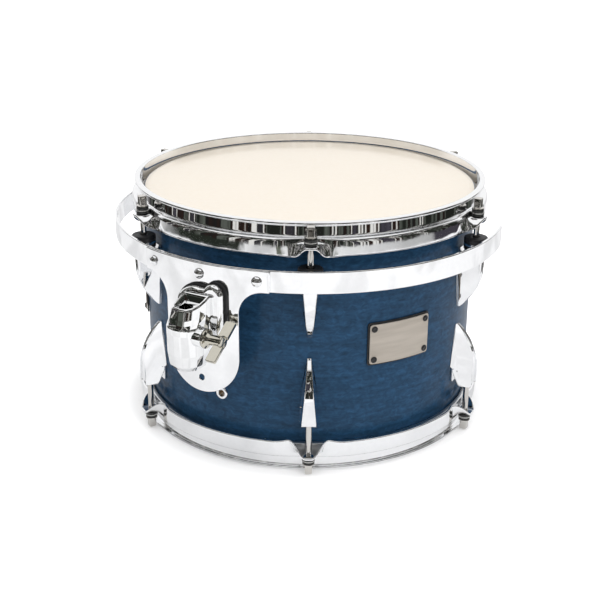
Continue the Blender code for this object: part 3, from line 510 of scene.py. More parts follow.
CHROME = plated("chrome", (0.92, 0.925, 0.935), 0.015, 0.05)
CAST_CHROME = plated("cast_chrome", (0.91, 0.915, 0.92), 0.02, 0.06, 0.006)
# The wing nut's chrome is darker and tinted tan: a painted reflection of a tan surface, not the plating's own
# colour.
NUT_CHROME_PAINTED_REFLECTION = plated("nut_chrome_painted_tan_reflection", (0.60, 0.575, 0.50), 0.05, 0.12, 0.006)
ROD_CHROME = plated("rod_chrome", (0.66, 0.64, 0.61), 0.08, 0.16)
ZINC = plated("zinc_plate", (0.62, 0.63, 0.64), 0.22, 0.35)
ALUMINIUM = plated("satin_aluminium", (0.74, 0.75, 0.76), 0.22, 0.38)
RUBBER = moulded("black_rubber", (0.012, 0.012, 0.013), 0.35, 0.55)
SCREW_BLACK = moulded("blackened_screw", (0.02, 0.02, 0.021), 0.25, 0.4, 0.05)
STAIN = stained_maple()
MAPLE = bare_maple()
FILM = drum_film()
NICKEL = brushed_nickel()
WASHER = washer_stack()


# Shell and heads


def wall_with_hole(azimuth, height, hole_radius):
    """Outer and inner faces of the wall as grids on cylinders, each without a square of cells at the hole.

    Each square's edge is joined to a ring on the hole, and the two rings to each other, so the wall is open.
    """
    columns, rows, cells = 240, 50, 4
    low, high = RIM_RISE + ROUND_OVER, HEIGHT - RIM_RISE - ROUND_OVER
    step = (high - low) / rows
    row = round((height - low) / step)
    heights = np.linspace(low, high, rows + 1)
    heights[1:-1] += height - (low + row * step)
    first = row - cells // 2
    angle = np.radians(azimuth + (np.arange(columns) - cells / 2) * 360 / columns)
    kept = np.ones((columns, rows), bool)
    kept[:cells, first:first + cells] = False
    faces = quads(columns, rows + 1, round_rows=True).reshape(columns, rows, 4)[kept].tolist()
    side = np.arange(cells)
    edge = np.vstack([np.stack([side, side * 0], -1), np.stack([side * 0 + cells, side], -1),
                      np.stack([cells - side, side * 0 + cells], -1), np.stack([side * 0, cells - side], -1)])
    around = np.arctan2(edge[:, 1] - cells / 2, edge[:, 0] - cells / 2)
    parts = []
    rings = []
    for radius in (SHELL_RADIUS, SHELL_INNER):
        grid = polar(radius, angle[:, None], heights[None, :])
        spot = hole_radius * np.cos(around) / radius + math.radians(azimuth)
        rings.append(polar(radius, spot, height + hole_radius * np.sin(around)))
        square = grid[edge[:, 0], first + edge[:, 1]]
        parts += [(grid.reshape(-1, 3), faces), skin(np.stack([square, rings[-1]]), round_columns=True)]
    parts.append(skin(np.stack(rings), round_columns=True))
    return parts, low, high


def open_mesh(name, shapes, way):
    """Mesh of an open skin, its faces turned away from Z or towards it, judged by its largest wall."""
    mesh = shape_mesh(name, shapes)
    normals, centres = np.zeros((2, len(mesh.polygons) * 3))
    mesh.polygons.foreach_get("normal", normals)
    mesh.polygons.foreach_get("center", centres)
    facing = np.sum(normals.reshape(-1, 3)[:, :2] * centres.reshape(-1, 3)[:, :2])
    if facing * way < 0:
        mesh.flip_normals()
    return mesh


def make_shell():
    """Shell in two pieces: stained outside with its round-overs, and bare inside with the edges' cuts."""
    parts, low, high = wall_with_hole(*VENT, 0.0045)
    outside, inside = parts[:2], parts[2:]
    for edge, away, level in ((HEIGHT - RIM_RISE, 1, high), (RIM_RISE, -1, low)):
        x, y = arc((0, 0), 1.0, 0, 90, 7).T
        over = np.stack([SHELL_RADIUS - ROUND_OVER + ROUND_OVER * x, level + away * ROUND_OVER * y], -1)
        slope = edge - away * (CREST - SHELL_INNER)
        cut = [over[-1], [CREST, edge], [SHELL_INNER, slope], [SHELL_INNER, level]]
        outside.append(lathe(over, 240, False, VENT[0] - 3.0))
        inside.append(lathe(cut, 240, False, VENT[0] - 3.0))
    piece("shell_outside", open_mesh("shell_outside", outside, 1), STAIN, ["shell"])
    piece("shell_inside", open_mesh("shell_inside", inside, -1), MAPLE)


def make_head(side, edge, away):
    """Film with its crown, rounded collar and hem, and the flesh hoop that holds the collar."""
    thick = 0.0003
    film = edge + away * GAP
    top = film + away * thick
    collar = SHELL_RADIUS + 0.00045
    hem = edge - away * 0.0132
    under = [(CREST, film), (collar, film - away * 0.0017), (collar, hem)]
    over = [(collar + thick, hem), (collar + thick, film - away * 0.0016), (CREST + 0.0001, top)]
    span = np.linspace(0.02, CREST - 0.004, 12)
    back = np.linspace(CREST - 0.004, 0.02, 12)
    profile = np.vstack([[(0, film)], np.stack([span, np.full(12, film)], -1), under, over,
                         np.stack([back, np.full(12, top)], -1), [(0, top)]])
    film_shape = lathe(profile, 240, closed=False)
    build(f"{side}_film", [film_shape], FILM, [f"{side}_head_film"], sharp=60)
    low, high = sorted((edge - away * 0.00595, edge - away * 0.01495))
    ring = tube(collar + 0.0006, EAR_NECK - SHEET - GAP, low, high, 0.0008, 240)
    build(f"{side}_flesh_ring", [ring], ALUMINIUM, [f"{side}_flesh_hoop"])


def make_lug_screws():
    """Two dome-headed screws on wide washers inside the wall behind each lug."""
    wall = SHELL_INNER
    washer = tube(0.001, 0.0066, wall - 0.0012, wall - 0.0001, 0.0003, 24)
    head = eased_bar([(0, wall - 0.0045), (0.0026, wall - 0.0043), (0.0042, wall - 0.0022),
                      (0.0042, wall - 0.0012), (0, wall - 0.0011)], 0.0008, 24)
    shapes = [outward(shape, azimuth, MIDDLE + away * distance) for azimuth in STATIONS for away in (1, -1)
              for distance in (0.0195, 0.0565) for shape in (washer, head)]
    build("lug_screws", shapes, ZINC)


# Hoops, rods and lugs

# Easing of each corner of the hoop's section, from the lip's outer foot down the inside and back up the outside
HOOP_EASE = np.array([1.3, 1.3, 1.0, 0.6, 0.8, 1.2, 1.1, 1.1, 2.2, 3.8, 1.5, 0.9]) / 1000


def hoop_outline(offset):
    """Corners of the hoop's section as (radius, depth) at distances round the wall from the nearest rod.

    The skirt's direction (cos, sin) of 90 w degrees swings from lying flat as the ear to hanging down, with
    w = 3e^2 - 2e^3 for e rising from 0 at 3 mm to 1 at 18 mm. The same blend s from 5 to 32 mm sets lengths.
    """
    e = np.clip((np.abs(offset) - 0.003) / 0.015, 0, 1)
    swing = np.radians(90 * e * e * (3 - 2 * e))
    s = np.clip((np.abs(offset) - 0.005) / 0.027, 0, 1)
    s = s * s * (3 - 2 * s)
    corner = EAR_NECK + (HOOP_INNER + SHEET + 0.0058 - EAR_NECK) * s
    bend = EAR_DROP + SKIRT_DROP * s
    length = (ROD_CIRCLE + 0.0081 - EAR_NECK) * (1 - s) + (SKIRT_LOW - EAR_DROP - SKIRT_DROP) * s
    length = length - 0.0016 * np.sin(math.pi * e)
    tip = np.stack([corner, bend], -1) + length[:, None] * np.stack([np.cos(swing), np.sin(swing)], -1)
    back = tip + SHEET * np.stack([-np.sin(swing), np.cos(swing)], -1)
    lip, lip_low, outer = HOOP_INNER + SHEET + 0.0032, 0.0028, HOOP_INNER + SHEET
    pairs = [(lip, lip_low), (lip, 0), (HOOP_INNER, 0), (HOOP_INNER, LEDGE_DROP + SHEET),
             (corner - SHEET, LEDGE_DROP + SHEET), (corner - SHEET, bend + SHEET * (1 - 0.6 * s)),
             tuple(back.T), tuple(tip.T), (corner, bend), (corner, LEDGE_DROP), (outer, LEDGE_DROP),
             (outer, lip_low)]
    return np.stack([np.stack(np.broadcast_arrays(*pair, s)[:2], -1) for pair in pairs], 1)


def make_hoop(side, rim, away):
    """Triple-flanged hoop: its eased section carried round, point by point (r sin a, -r cos a, rim - depth)."""
    count = 720
    share = np.arange(count) * 6 / count % 1
    sector = 2 * math.pi / 6 * ROD_CIRCLE
    corners = hoop_outline(np.minimum(share, 1 - share) * sector)
    section = held(rounded(corners, np.broadcast_to(HOOP_EASE, corners.shape[:2]), 9, 0.66), 9)
    angle = np.arange(count)[:, None] * 2 * math.pi / count
    points = polar(section[..., 0], angle, rim - away * section[..., 1])
    build(f"{side}_hoop_skin", [skin(points, True, True)], CHROME, [f"{side}_hoop"], sharp=60)


def rod_shape(rim, away):
    """Tension rod round Z, with depth measured from the rim: sections of radius w (|cos|^n + |sin|^n)^(-1/n).

    n is 12 for the key's eased square and 2 for what is round.
    """
    shaft = 0.0026
    levels = [
        (0.0009, 0.0016, 12), (0.0009, 0.0024, 12), (0.00115, 0.0029, 12), (0.0015, 0.00315, 12),
        (0.0089, 0.00315, 12), (0.0091, 0.0034, 4), (0.0093, 0.0046, 2), (0.00955, 0.0051, 2), (0.0103, 0.0052, 2),
        (0.01055, 0.0050, 2), (0.0106, 0.0046, 2), (0.0106, shaft, 2), (0.0400, shaft, 2), (0.0600, shaft, 2),
        (0.0679, shaft, 2), (0.0687, 0.0018, 2),
    ]
    depth, width, power = (np.array(column)[:, None] for column in zip(*levels))
    angle = np.linspace(0, 2 * math.pi, 48, endpoint=False)[None, :]
    radius = width * (np.abs(np.cos(angle)) ** power + np.abs(np.sin(angle)) ** power) ** (-1 / power)
    points = np.stack([radius * np.cos(angle), radius * np.sin(angle), -away * depth + 0 * angle], -1)
    return prism(points + (0, 0, rim))


def make_rods(side, rim, away):
    """A rod at each station, on its own body."""
    rod = rod_shape(rim, away)
    for number, azimuth in enumerate(STATIONS, 1):
        node_name = f"{side}_rod_{number}"
        build(f"{side}_tension_rod_{number}", [on_rod(rod, azimuth)], ROD_CHROME, [node_name],
              f"{node_name}_body")


def make_washers(side, rim, away):
    """Black nylon, steel and black nylon under each rod's collar, with the layer written into an attribute."""
    bottom = rim - away * (EAR_DROP - GAP)
    rings = []
    layers = []
    for start, end, radius, layer in ((0.0, 0.0019, 0.0055, 0.0), (0.0020, 0.0032, 0.0057, 1.0),
                                      (0.0033, 0.0053, 0.0052, 0.0)):
        low, high = sorted((bottom + away * start, bottom + away * end))
        rings.append(tube(0.0031, radius, low, high, 0.0004, 36))
        layers.append(np.full(len(rings[-1][0]), layer))
    for number, azimuth in enumerate(STATIONS, 1):
        mesh = shape_mesh(f"{side}_washer_stack_{number}", [on_rod(ring, azimuth) for ring in rings])
        mesh.attributes.new("layer", "FLOAT", "POINT").data.foreach_set("value", np.concatenate(layers))
        piece(f"{side}_washer_stack_{number}", mesh, WASHER, [f"{side}_washer_{number}"])


def lug_outline():
    """Side outline of a lug as (rise, distance from the drum's middle), eased at its corners.

    The blade's back is rise 19.2 sin(pi x / 2)^0.8 mm over its first 35.2 mm, then straight to the end.
    """
    foot = 0.0486
    share = np.concatenate([np.linspace(0, 0.12, 9), np.linspace(0.15, 1, 26)])
    back = np.stack([LUG_RISE * np.sin(math.pi / 2 * share) ** 0.8, LUG_TIP + 0.0352 * share], -1)
    straight = np.stack([np.full(5, LUG_RISE), np.linspace(0.046, 0.060, 5)], -1)
    end = rounded([(LUG_RISE, 0.058), (0.0190, LUG_END), (0.0092, LUG_END), (0.0012, foot)],
                  [0, 0.0016, 0.0009, 0.002], 6)
    wall = np.stack([np.zeros(6), np.linspace(0.044, 0.0095, 6)], -1)
    return np.vstack([back[1:], straight, end[6:], [(0.0, foot)], wall])


def lug_shape(away):
    """Blade lug: its outline swept across its width, drawn in along a quarter circle at both edges.

    Half width in mm = 0.4 + 5.9 x + 1.8 x (1 - x) + (1.2 + 2.2 x)(1 - rise/19.2), x going from tip to end.
    """
    outline = lug_outline()
    ease = 0.0008
    quarter = np.radians(np.linspace(90, 0, 6))
    levels = [(1.5, 0.0)] + list(zip(1 - np.cos(quarter), 1 - np.sin(quarter)))
    inward = shift_outline(outline, -1.0) - outline
    share = (outline[:, 1] - LUG_TIP) / LUG_LENGTH
    half = 0.0004 + 0.0059 * share + 0.0018 * share * (1 - share)
    half = half + (0.0012 + 0.0022 * share) * (1 - outline[:, 0] / LUG_RISE)
    rings = []
    for side, eased in ((-1, levels), (1, levels[::-1])):
        for inset, lift in eased:
            drawn = outline + inward * ease * inset * np.clip(outline[:, :1] / 0.002, 0, 1)
            wide = side * (half - ease * lift * np.clip(half / 0.003, 0, 1))
            rings.append(np.stack([wide, -(LUG_FACE + drawn[:, 0]), MIDDLE + away * drawn[:, 1]], -1))
    return prism(rings)


def make_lugs(side, away):
    """A lug at each station with its thin foot and the collar round the rod's bore."""
    blade = lug_shape(away)
    wide, start = 0.0055, 0.045
    outline = rounded([(-wide, start), (wide, start), (wide, LUG_END), (-wide, LUG_END)], [0.002] * 4, 5)
    level = np.stack([outline[:, 0], MIDDLE + away * outline[:, 1]], -1)
    foot = prism([upright(level, -(LUG_FACE + out)) for out in (0.0, 0.0010, 0.0012)])
    low, high = sorted((MIDDLE + away * 0.0632, MIDDLE + away * 0.06425))
    collar = tube(0.0028, 0.0040, low, high, 0.0003, 32)
    for number, azimuth in enumerate(STATIONS, 1):
        shapes = [spin(blade, azimuth), spin(foot, azimuth), on_rod(collar, azimuth)]
        build(f"{side}_blade_lug_{number}", shapes, CHROME, [f"{side}_lug_{number}"], sharp=45)


# Band, plate and holder


def bent_plate(name, loops, back, thickness, ease, azimuth, front=None):
    """Sheet cut to an outline with holes, its edges eased, and bent: x becomes an arc of the outer face.

    The first loop runs anticlockwise and the holes clockwise, so each edge is drawn into the sheet to its left,
    by ease (1 - sin a) at a depth of ease (1 - cos a) for a from 0 to 90 degrees. The front may have its own.
    """
    strip = 0.002
    front = ease if front is None else front
    curve = np.radians(np.linspace(0, 90, 4 if front == ease else 10))
    steps = [(ease * 1.6, 0.0)] + [(ease * (1 - math.sin(a)), ease * (1 - math.cos(a))) for a in curve]
    steps += [(front * (1 - math.cos(a)), thickness - front * (1 - math.sin(a))) for a in curve]
    steps.append((front + 0.0003, thickness))
    bm = bmesh.new()
    caps = ([], [])
    for loop in loops:
        rings = [[bm.verts.new((x, depth, z)) for x, z in shift_outline(loop, inset).tolist()]
                 for inset, depth in steps]
        for here, there in zip(rings, rings[1:]):
            for i in range(len(here)):
                bm.faces.new((here[i - 1], here[i], there[i], there[i - 1]))
        for cap, ring in zip(caps, (rings[0], rings[-1])):
            cap += [bm.edges.get((ring[i - 1], ring[i])) for i in range(len(ring))]
    for cap in caps:
        bmesh.ops.triangle_fill(bm, use_beauty=True, edges=cap)
    count = int(max(abs(v.co.x) for v in bm.verts) / strip)
    for i in range(-count, count + 1):
        bmesh.ops.bisect_plane(bm, geom=bm.verts[:] + bm.edges[:] + bm.faces[:], plane_co=(i * strip, 0, 0),
                               plane_no=(1, 0, 0))
    mesh = bpy.data.meshes.new(name)
    bm.to_mesh(mesh)
    points = np.zeros(len(mesh.vertices) * 3)
    mesh.vertices.foreach_get("co", points)
    x, y, z = points.reshape(-1, 3).T
    bent = polar(back + y, x / (back + thickness), z)
    mesh.vertices.foreach_set("co", turn(bent, azimuth).ravel())
    mesh.update()
    bm.clear()
    bm.from_mesh(mesh)
    bmesh.ops.recalc_face_normals(bm, faces=bm.faces)
    bm.to_mesh(mesh)
    bm.free()
    return shaded(mesh, 50)


def resample(outline, count):
    """Points of a closed outline in the directions of a circle of points round the origin."""
    angle = np.arctan2(outline[:, 1], outline[:, 0]) % (2 * math.pi)
    order = np.argsort(angle)
    wanted = np.linspace(0, 2 * math.pi, count, endpoint=False)
    around = np.concatenate([angle[order] - 2 * math.pi, angle[order], angle[order] + 2 * math.pi])
    return np.stack([np.interp(wanted, around, np.tile(outline[order, k], 3)) for k in (0, 1)], -1)


def make_band():
    """Suspension strip: an eased upright section swept from end to end, and a welded tab over four lugs."""
    face = BAND_RADIUS - 0.00005
    back = face - 0.00235
    corners = [(back, BAND_LOW), (face, BAND_LOW), (face, BAND_HIGH), (back, BAND_HIGH)]
    section = held(rounded(corners, [0.0006] * 4, 6), 6)
    angle = np.radians(np.linspace(MOUNT_AZIMUTH - BAND_REACH, MOUNT_AZIMUTH + BAND_REACH, 220))[:, None]
    strip = prism(polar(section[:, 0], angle, section[:, 1]))
    build("band_strip", [strip], CHROME, ["mount_band"], sharp=50)
    low = MIDDLE + 0.0676
    weld = ROD_CIRCLE - BAND_RADIUS + 0.0018
    outline = np.vstack([arc((0, 0), TAB_RADIUS, 0, 180, 32), [(-TAB_RADIUS, weld), (TAB_RADIUS, weld)]])
    hole = arc((0, 0), 0.0070, 0, 360, 33)[:-1]
    levels = ((0.0004, 0.0), (0.0, 0.0004), (0.0, 0.0019), (0.0004, 0.0023))
    tab = [np.stack([flat(shift_outline(loop, way * inset), low + up) for inset, up in levels])
           for loop, way in ((outline, 1), (hole, -1))]
    tab += [np.stack([flat(shift_outline(hole, -inset), low + up),
                      flat(resample(shift_outline(outline, inset), 32), low + up)])
            for inset, up in (levels[0], levels[-1])]
    shapes = [on_rod(skin(rings, round_columns=True), azimuth) for azimuth in (0.0, 60.0, -60.0, -120.0)
              for rings in tab]
    build("band_tabs", shapes, CHROME, sharp=45)


def plate_loops():
    """Shield outline with hollow shoulders and a round foot, and the hole of one bolt."""
    wide, wing, hollow = 0.0585, 0.0608, 0.0205
    ends = rounded([(wide, BAND_LOW), (wing, BAND_LOW), (wing, BAND_HIGH), (wide, BAND_HIGH)],
                   [0, 0.0015, 0.0015, 0], 5)
    half = np.vstack([arc((0.0, 0.1085), 0.035, -90, 0, 24),
                      arc((0.0555, BAND_LOW - hollow), hollow, 180, 90, 16), ends[5:15]])
    mirror = half[::-1] * (-1, 1)
    return [np.vstack([half, mirror[:-1]]), arc((0.0, 0.0864), 0.0027, 360, 0, 25)[:-1]]


def make_plate():
    """Bent bracket plate and its three dome-headed rivets."""
    mesh = bent_plate("shield_plate", plate_loops(), BAND_RADIUS + GAP, 0.0022, 0.0005, MOUNT_AZIMUTH)
    piece("shield_plate", mesh, CHROME, ["mount_plate"])
    face = PLATE_FACE + GAP
    tail = BAND_RADIUS - 0.0035
    foot, shank, head = 0.0042, 0.0024, 0.0043
    stem = [(0, tail), (foot, tail), (foot, tail + 0.0009), (shank, tail + 0.0009), (shank, face - 0.0002),
            (head, face - 0.0002)]
    cap = arc((0, 0), 1.0, 0, 90, 16) * (head, 0.0026) + (0, face)
    dome = lathe(np.vstack([stem, cap]), 40, closed=False)
    for number, azimuth in enumerate((-RIVET_STEP, 0.0, RIVET_STEP), 1):
        rivet = outward(dome, MOUNT_AZIMUTH + azimuth, (BAND_LOW + BAND_HIGH) / 2)
        build(f"dome_rivet_{number}", [rivet], CHROME, [f"plate_rivet_{number}"], sharp=60)


def bracket_foot(inset):
    """Outline of the holder's foot: a broad lobe behind the socket and a taller slim one behind the clamp."""
    centre = 0.0165
    body, side = 0.0205 - inset, 0.0100 - inset
    right = centre + side
    low, clamp = 0.102 + inset, 0.112 + inset
    foot = rounded([(-body, 0.150), (-body, low + 2 * body / 3), (-body * 0.6, low), (body * 0.2, low),
                    (right * 0.5, clamp), (right, 0.1248 + inset), (right, RIM)],
                   [0, 0.006, 0.005, 0.005, 0.004, 0.006, 0], 5)[5:-5]
    return np.vstack([arc((centre, RIM), side, 0, 150, 14), arc((0.0, 0.1495), body, 76, 180, 18), foot])


def tower_section(height, left, right, drawn, point, slope, back):
    """Outline of the holder's body on a plane that falls outwards: flanks from the foot, and a nose.

    Corners go from the round lower body's to the mouth's, which has one sharp corner on the left.
    """
    broad = np.array([(-1, 0), (-1, 0.45), (-0.88, 0.72), (-0.62, 0.9), (-0.22, 1)])
    broad = np.vstack([broad, broad[::-1] * (-1, 1)])
    mouth = np.array([(-1, 0), (-0.98, 0.45), (-0.93, 0.82), (-0.74, 0.95), (0, 1), (0.42, 0.98), (0.72, 0.84),
                      (0.92, 0.6), (1, 0.3), (1, 0)])
    line = broad + (mouth - broad) * point
    wide = line[:, 0] * np.where(line[:, 0] < 0, left, right)
    radii = 0.006 + (np.array([0, 4, 1.2, 1.2, 6, 5, 5, 5, 5, 0]) / 1000 - 0.006) * point
    x, y = rounded(np.stack([wide, back + (NOSE - drawn - back) * line[:, 1]], -1), radii, 12).T
    return np.stack([x, -y, height - slope * (y - back)], -1)


def cast(name, solid, additions, cuts):
    """Cast part: solids joined and cut, with its flat and round faces kept clean."""
    made = new_object(name, solid)
    tools = []
    for operation, meshes in (("UNION", additions), ("DIFFERENCE", cuts)):
        for mesh in meshes:
            tools.append(new_object(f"{name}_tool", mesh))
            step = made.modifiers.new("join", "BOOLEAN")
            step.operation = operation
            step.solver = "EXACT"
            step.object = tools[-1]
    bpy.context.view_layer.update()
    result = bpy.data.meshes.new_from_object(made.evaluated_get(bpy.context.evaluated_depsgraph_get()))
    for old in [made] + tools:
        bpy.data.objects.remove(old, do_unlink=True)
    result.name = name
    return shaded(result, 32)


def ring_like(outline, radius, height):
    """Circle round the socket, with a point towards each point of an outline: c + r (p - c) / |p - c|."""
    centre = np.array([0.0, -SOCKET_AXIS])
    away = outline[:, :2] - centre
    away /= np.linalg.norm(away, axis=-1, keepdims=True)
    return flat(centre + radius * away, height)


def holder_body():
    """Holder's body as one skin of rings, up the outside and over the mouth's rim along a half circle.

    From there it goes down the dish and the socket, and back out under the foot.
    """
    root = BACK + 0.003
    left, right = 0.0094, 0.0153
    levels = np.array([
        (0.1028, 0.0130, 0.0102, 0.006, 0.3, 0), (0.107, 0.0163, 0.0129, 0.0024, 0.1, 0),
        (0.117, 0.0175, 0.015, 0.0008, 0, 0), (0.135, 0.0175, 0.015, 0, 0, 0),
        (0.1402, 0.0172, 0.015, 0.0001, 0.05, 0.02), (0.1425, 0.0160, 0.015, 0.0012, 0.4, 0.06),
        (0.147, 0.0142, right, 0.0018, 0.75, 0.13),
        (0.154, left + 0.0022, right, 0.0022, 0.95, 0.245), (RIM - 0.0008, left, right, 0.0032, 1, SLOPE)])
    heights = np.unique(np.concatenate([np.linspace(levels[0, 0], levels[-1, 0], 60), levels[:, 0]]))
    sizes = [np.interp(heights, levels[:, 0], levels[:, k]) for k in range(1, 6)]
    rings = [tower_section(*values, root) for values in zip(heights, *sizes)]
    for a in np.radians(np.linspace(15, 165, 8)):
        over = 1 - math.cos(a)
        rings.append(tower_section(
            RIM - 0.0008 + 0.0009 * math.sin(a), left - 0.0010 * over, right - 0.0010 * over,
            0.0032 + 0.0010 * over, 1, SLOPE, root + 0.0022 * over))
    for drop in (0, 0.3, 0.7, 1):
        share = 1 - 0.2 * drop
        rings.append(tower_section(
            RIM - 0.0014 - 0.0052 * drop, (left - 0.0021) * share, (right - 0.0021) * share,
            0.0053 + 0.0012 * drop, 1, SLOPE, root + 0.0045 + 0.0018 * drop))
    dish = rings[-1]
    bore = [ring_like(dish, SOCKET_RADIUS, z) for z in (0.1560, 0.1555, 0.1392, 0.1268, 0.1033, 0.1028)]
    bore[0][:, 2] = np.minimum(0.1568, dish[:, 2] - 0.0002)
    return skin(np.stack(rings + bore), round_rows=True, round_columns=True)


def make_holder():
    """Cast holder with its sloping dished mouth, through socket, clamp pocket and boss, on a rubber pad."""
    pad = bent_plate("holder_pad", [bracket_foot(0.0)], PLATE_FACE + GAP, 0.0022, 0.0006, MOUNT_AZIMUTH)
    piece("holder_pad", pad, RUBBER, ["bracket_gasket"])
    foot = bent_plate("holder_foot", [bracket_foot(0.0012)], BACK, 0.006, 0.0008, 0.0, front=0.0036)
    room, draw = 0.00985, 0.0025
    front = np.vstack([arc((0, SOCKET_AXIS), room, 180, 90, 16), arc((draw, SOCKET_AXIS), room, 90, 0, 16),
                       [(room + draw, BACK - 0.004), (-room, BACK - 0.004)]]) * (1, -1)
    pocket = prism([flat(front, z) for z in (0.12705, 0.13895)])
    boss = eased_bar([(0, 0.010), (0.0082, 0.010), (0.0082, 0.019), (0, 0.019)], 0.0012, 40, 6)
    drill = lathe([(0, 0.0047), (0.0037, 0.0047), (0.0037, 0.024), (0, 0.024)], 40, closed=False)
    boss, drill = (sideward(shape, SOCKET_AXIS, CLAMP_HEIGHT) for shape in (boss, drill))
    made = cast("holder_casting", shape_mesh("body", [holder_body()]), [foot, shape_mesh("boss", [boss])],
                [shape_mesh("pocket", [pocket]), shape_mesh("drill", [drill])])
    made.transform(Matrix.Rotation(math.radians(MOUNT_AZIMUTH), 4, "Z"))
    piece("holder_casting", made, CAST_CHROME, ["bracket_body"])


def make_clamp():
    """Eyebolt and cast wing nut: a waisted barrel with two flat wings that lean 55 degrees."""
    points, faces = tube(SOCKET_RADIUS, 0.0094, -0.0055, 0.0055, 0.0006, 64)
    eye = (points + (0, -SOCKET_AXIS, CLAMP_HEIGHT), faces)
    shank = eased_bar([(0, 0.0085), (0.0034, 0.0085), (0.0034, 0.0315), (0, 0.0315)], 0.0005, 32)
    shapes = [spin(shape, MOUNT_AZIMUTH) for shape in (eye, sideward(shank, SOCKET_AXIS, CLAMP_HEIGHT))]
    build("eyebolt", shapes, ZINC, ["clamp_eyebolt"], "eyebolt_body")
    bore, flange, waist, bead = 0.0037, 0.008, 0.0044, 0.0056
    barrel = eased_bar([
        (0, 0.0153), (bore, 0.0153), (bore, 0.0), (flange, 0.0), (flange, 0.0016), (bead, 0.0026),
        (waist, 0.0046), (waist, 0.0143), (bead, 0.0153), (bead, 0.0164), (0.0050, 0.0169), (0, 0.0169)], 0.0004, 48)
    near, wide, low, end = 0.0096, 0.0190, 0.0042, 0.0191
    outline = rounded([(near, low), (wide, low), (wide, end), (near, end)], [0, 0, 0.0016, 0.0016], 8)
    half = ((0.0005, 0.0013), (0.0003, 0.0013), (0, 0.0010))
    points, faces = prism([upright(shift_outline(outline, inset), -y) for inset, y in half]
                          + [upright(shift_outline(outline, inset), y) for inset, y in half[::-1]])
    x, y, z = points.T
    wings = []
    for lean in (55.0, 235.0):
        a = -math.radians(lean)
        wing = np.stack([x, y * math.cos(a) - z * math.sin(a), y * math.sin(a) + z * math.cos(a)], -1)
        wings.append(shape_mesh("wing", [(wing, faces)]))
    made = cast("wing_nut_casting", shape_mesh("barrel", [sideward(barrel)]), wings, [])
    seat = Matrix.Translation((0.0193, -SOCKET_AXIS, CLAMP_HEIGHT))
    made.transform(Matrix.Rotation(math.radians(MOUNT_AZIMUTH), 4, "Z") @ seat)
    # The nut's finish has a painted tan reflection in its colour.
    piece("wing_nut_casting", made, NUT_CHROME_PAINTED_REFLECTION, ["wing_nut"], "wing_nut_body")


def make_grommets():
    """Rubber grommet round the rod in each tab: flange on the lug, neck in the hole, flat cap above."""
    neck, seat = 0.0064, MIDDLE + 0.0643
    under, over, top = seat + 0.0030, seat + 0.0059, seat + 0.0109
    corners = [(ROD_BORE, seat), (TAB_RADIUS, seat), (TAB_RADIUS, under), (neck, under), (neck, over),
               (TAB_RADIUS, over), (TAB_RADIUS, top), (ROD_BORE, top)]
    ring = eased_ring(corners, [0.0004, 0.0008, 0.0008, 0.0003, 0.0003, 0.001, 0.0016, 0.0006], 64, 7)
    for number in (1, 2, 5, 6):
        build(f"rubber_grommet_{number}", [on_rod(ring, STATIONS[number - 1])], RUBBER,
              [f"grommet_{number}"], sharp=60)


# Badges and vent


def badge_outline(width, height):
    """Level rectangle with 3 mm corners, at the drum's middle."""
    w, h = width / 2, height / 2
    return rounded([(-w, -h), (w, -h), (w, h), (-w, h)], [0.003] * 4, 8) + (0, MIDDLE)


def make_badges():
    """Plain brushed plates on rubber pads, with a black screw in each corner, in front and at the side."""
    wide, tall, inset = 0.0595, 0.0355, 0.0040
    back = LUG_FACE + 0.0017
    top = back + 0.0009
    head = eased_bar([
        (0, top - 0.0004), (0.0028, top - 0.0004), (0.0028, top + 0.0005), (0.0019, top + 0.0012),
        (0.0012, top + 0.0013), (0.0010, top + 0.0007), (0, top + 0.0006)], 0.0004, 24)
    turned = math.degrees((wide / 2 - inset) / top)
    for name, azimuth, pad_node, face_node in (("badge", 30.0, ["badge_gasket"], ["badge_plate"]),
                                               ("side_badge", -90.0, ["side_badge"], [])):
        pad = bent_plate(f"{name}_pad", [badge_outline(0.062, 0.0385)], LUG_FACE, 0.0014, 0.0004, azimuth)
        piece(f"{name}_pad", pad, RUBBER, pad_node)
        face = bent_plate(f"{name}_face", [badge_outline(wide, tall)], back, 0.0009, 0.00025, azimuth)
        piece(f"{name}_face", face, NICKEL, face_node)
        shapes = [outward(head, azimuth + side * turned, MIDDLE + up * (tall / 2 - inset))
                  for side in (-1, 1) for up in (-1, 1)]
        build(f"{name}_screws", shapes, SCREW_BLACK)


def make_vent():
    """Rolled eyelet through the vent hole."""
    bore, neck, flange = 0.0030, 0.0042, 0.0060
    out, back = SHELL_RADIUS + GAP, SHELL_INNER - 0.0006
    corners = [(bore, back - 0.001), (flange, back - 0.001), (flange, back), (neck, back), (neck, out - 0.0002),
               (flange, out - 0.0002), (0.0052, out + 0.001), (bore, out + 0.001)]
    eyelet = outward(eased_ring(corners, 0.0006, 48, 5), *VENT)
    build("rolled_eyelet", [eyelet], CHROME, ["vent_eyelet"], sharp=60)


# Studio

WHITE = (1.0, 1.0, 1.0, 1.0)


def room_group():
    """Dim room beyond the white paper, as only mirrors show it: upright streaks of shade and of pale things."""
    group, given, out = new_group("dim_room", {"Direction": (0.0, 0.0, 0.0)}, ("Color",), "Vector", "Color")
    tall = stretched(group, given["Direction"], (3.4, 3.4, 1.1), location=(0.4, 0.3, 0.0))
    shade = ramp(group, noise(group, tall, 2.0, 1.5), [
        (0.0, 0.012), (0.40, (0.016, 0.018, 0.015)), (0.455, (0.10, 0.11, 0.095)), (0.475, 0.012),
        (0.53, (0.030, 0.016, 0.012)), (0.54, (0.75, 0.74, 0.70)), (0.565, (0.80, 0.79, 0.76)), (0.575, 0.02),
        (0.68, (0.06, 0.055, 0.07)), (1.0, 0.02)])
    put(group, out, Color=shade)
    return group


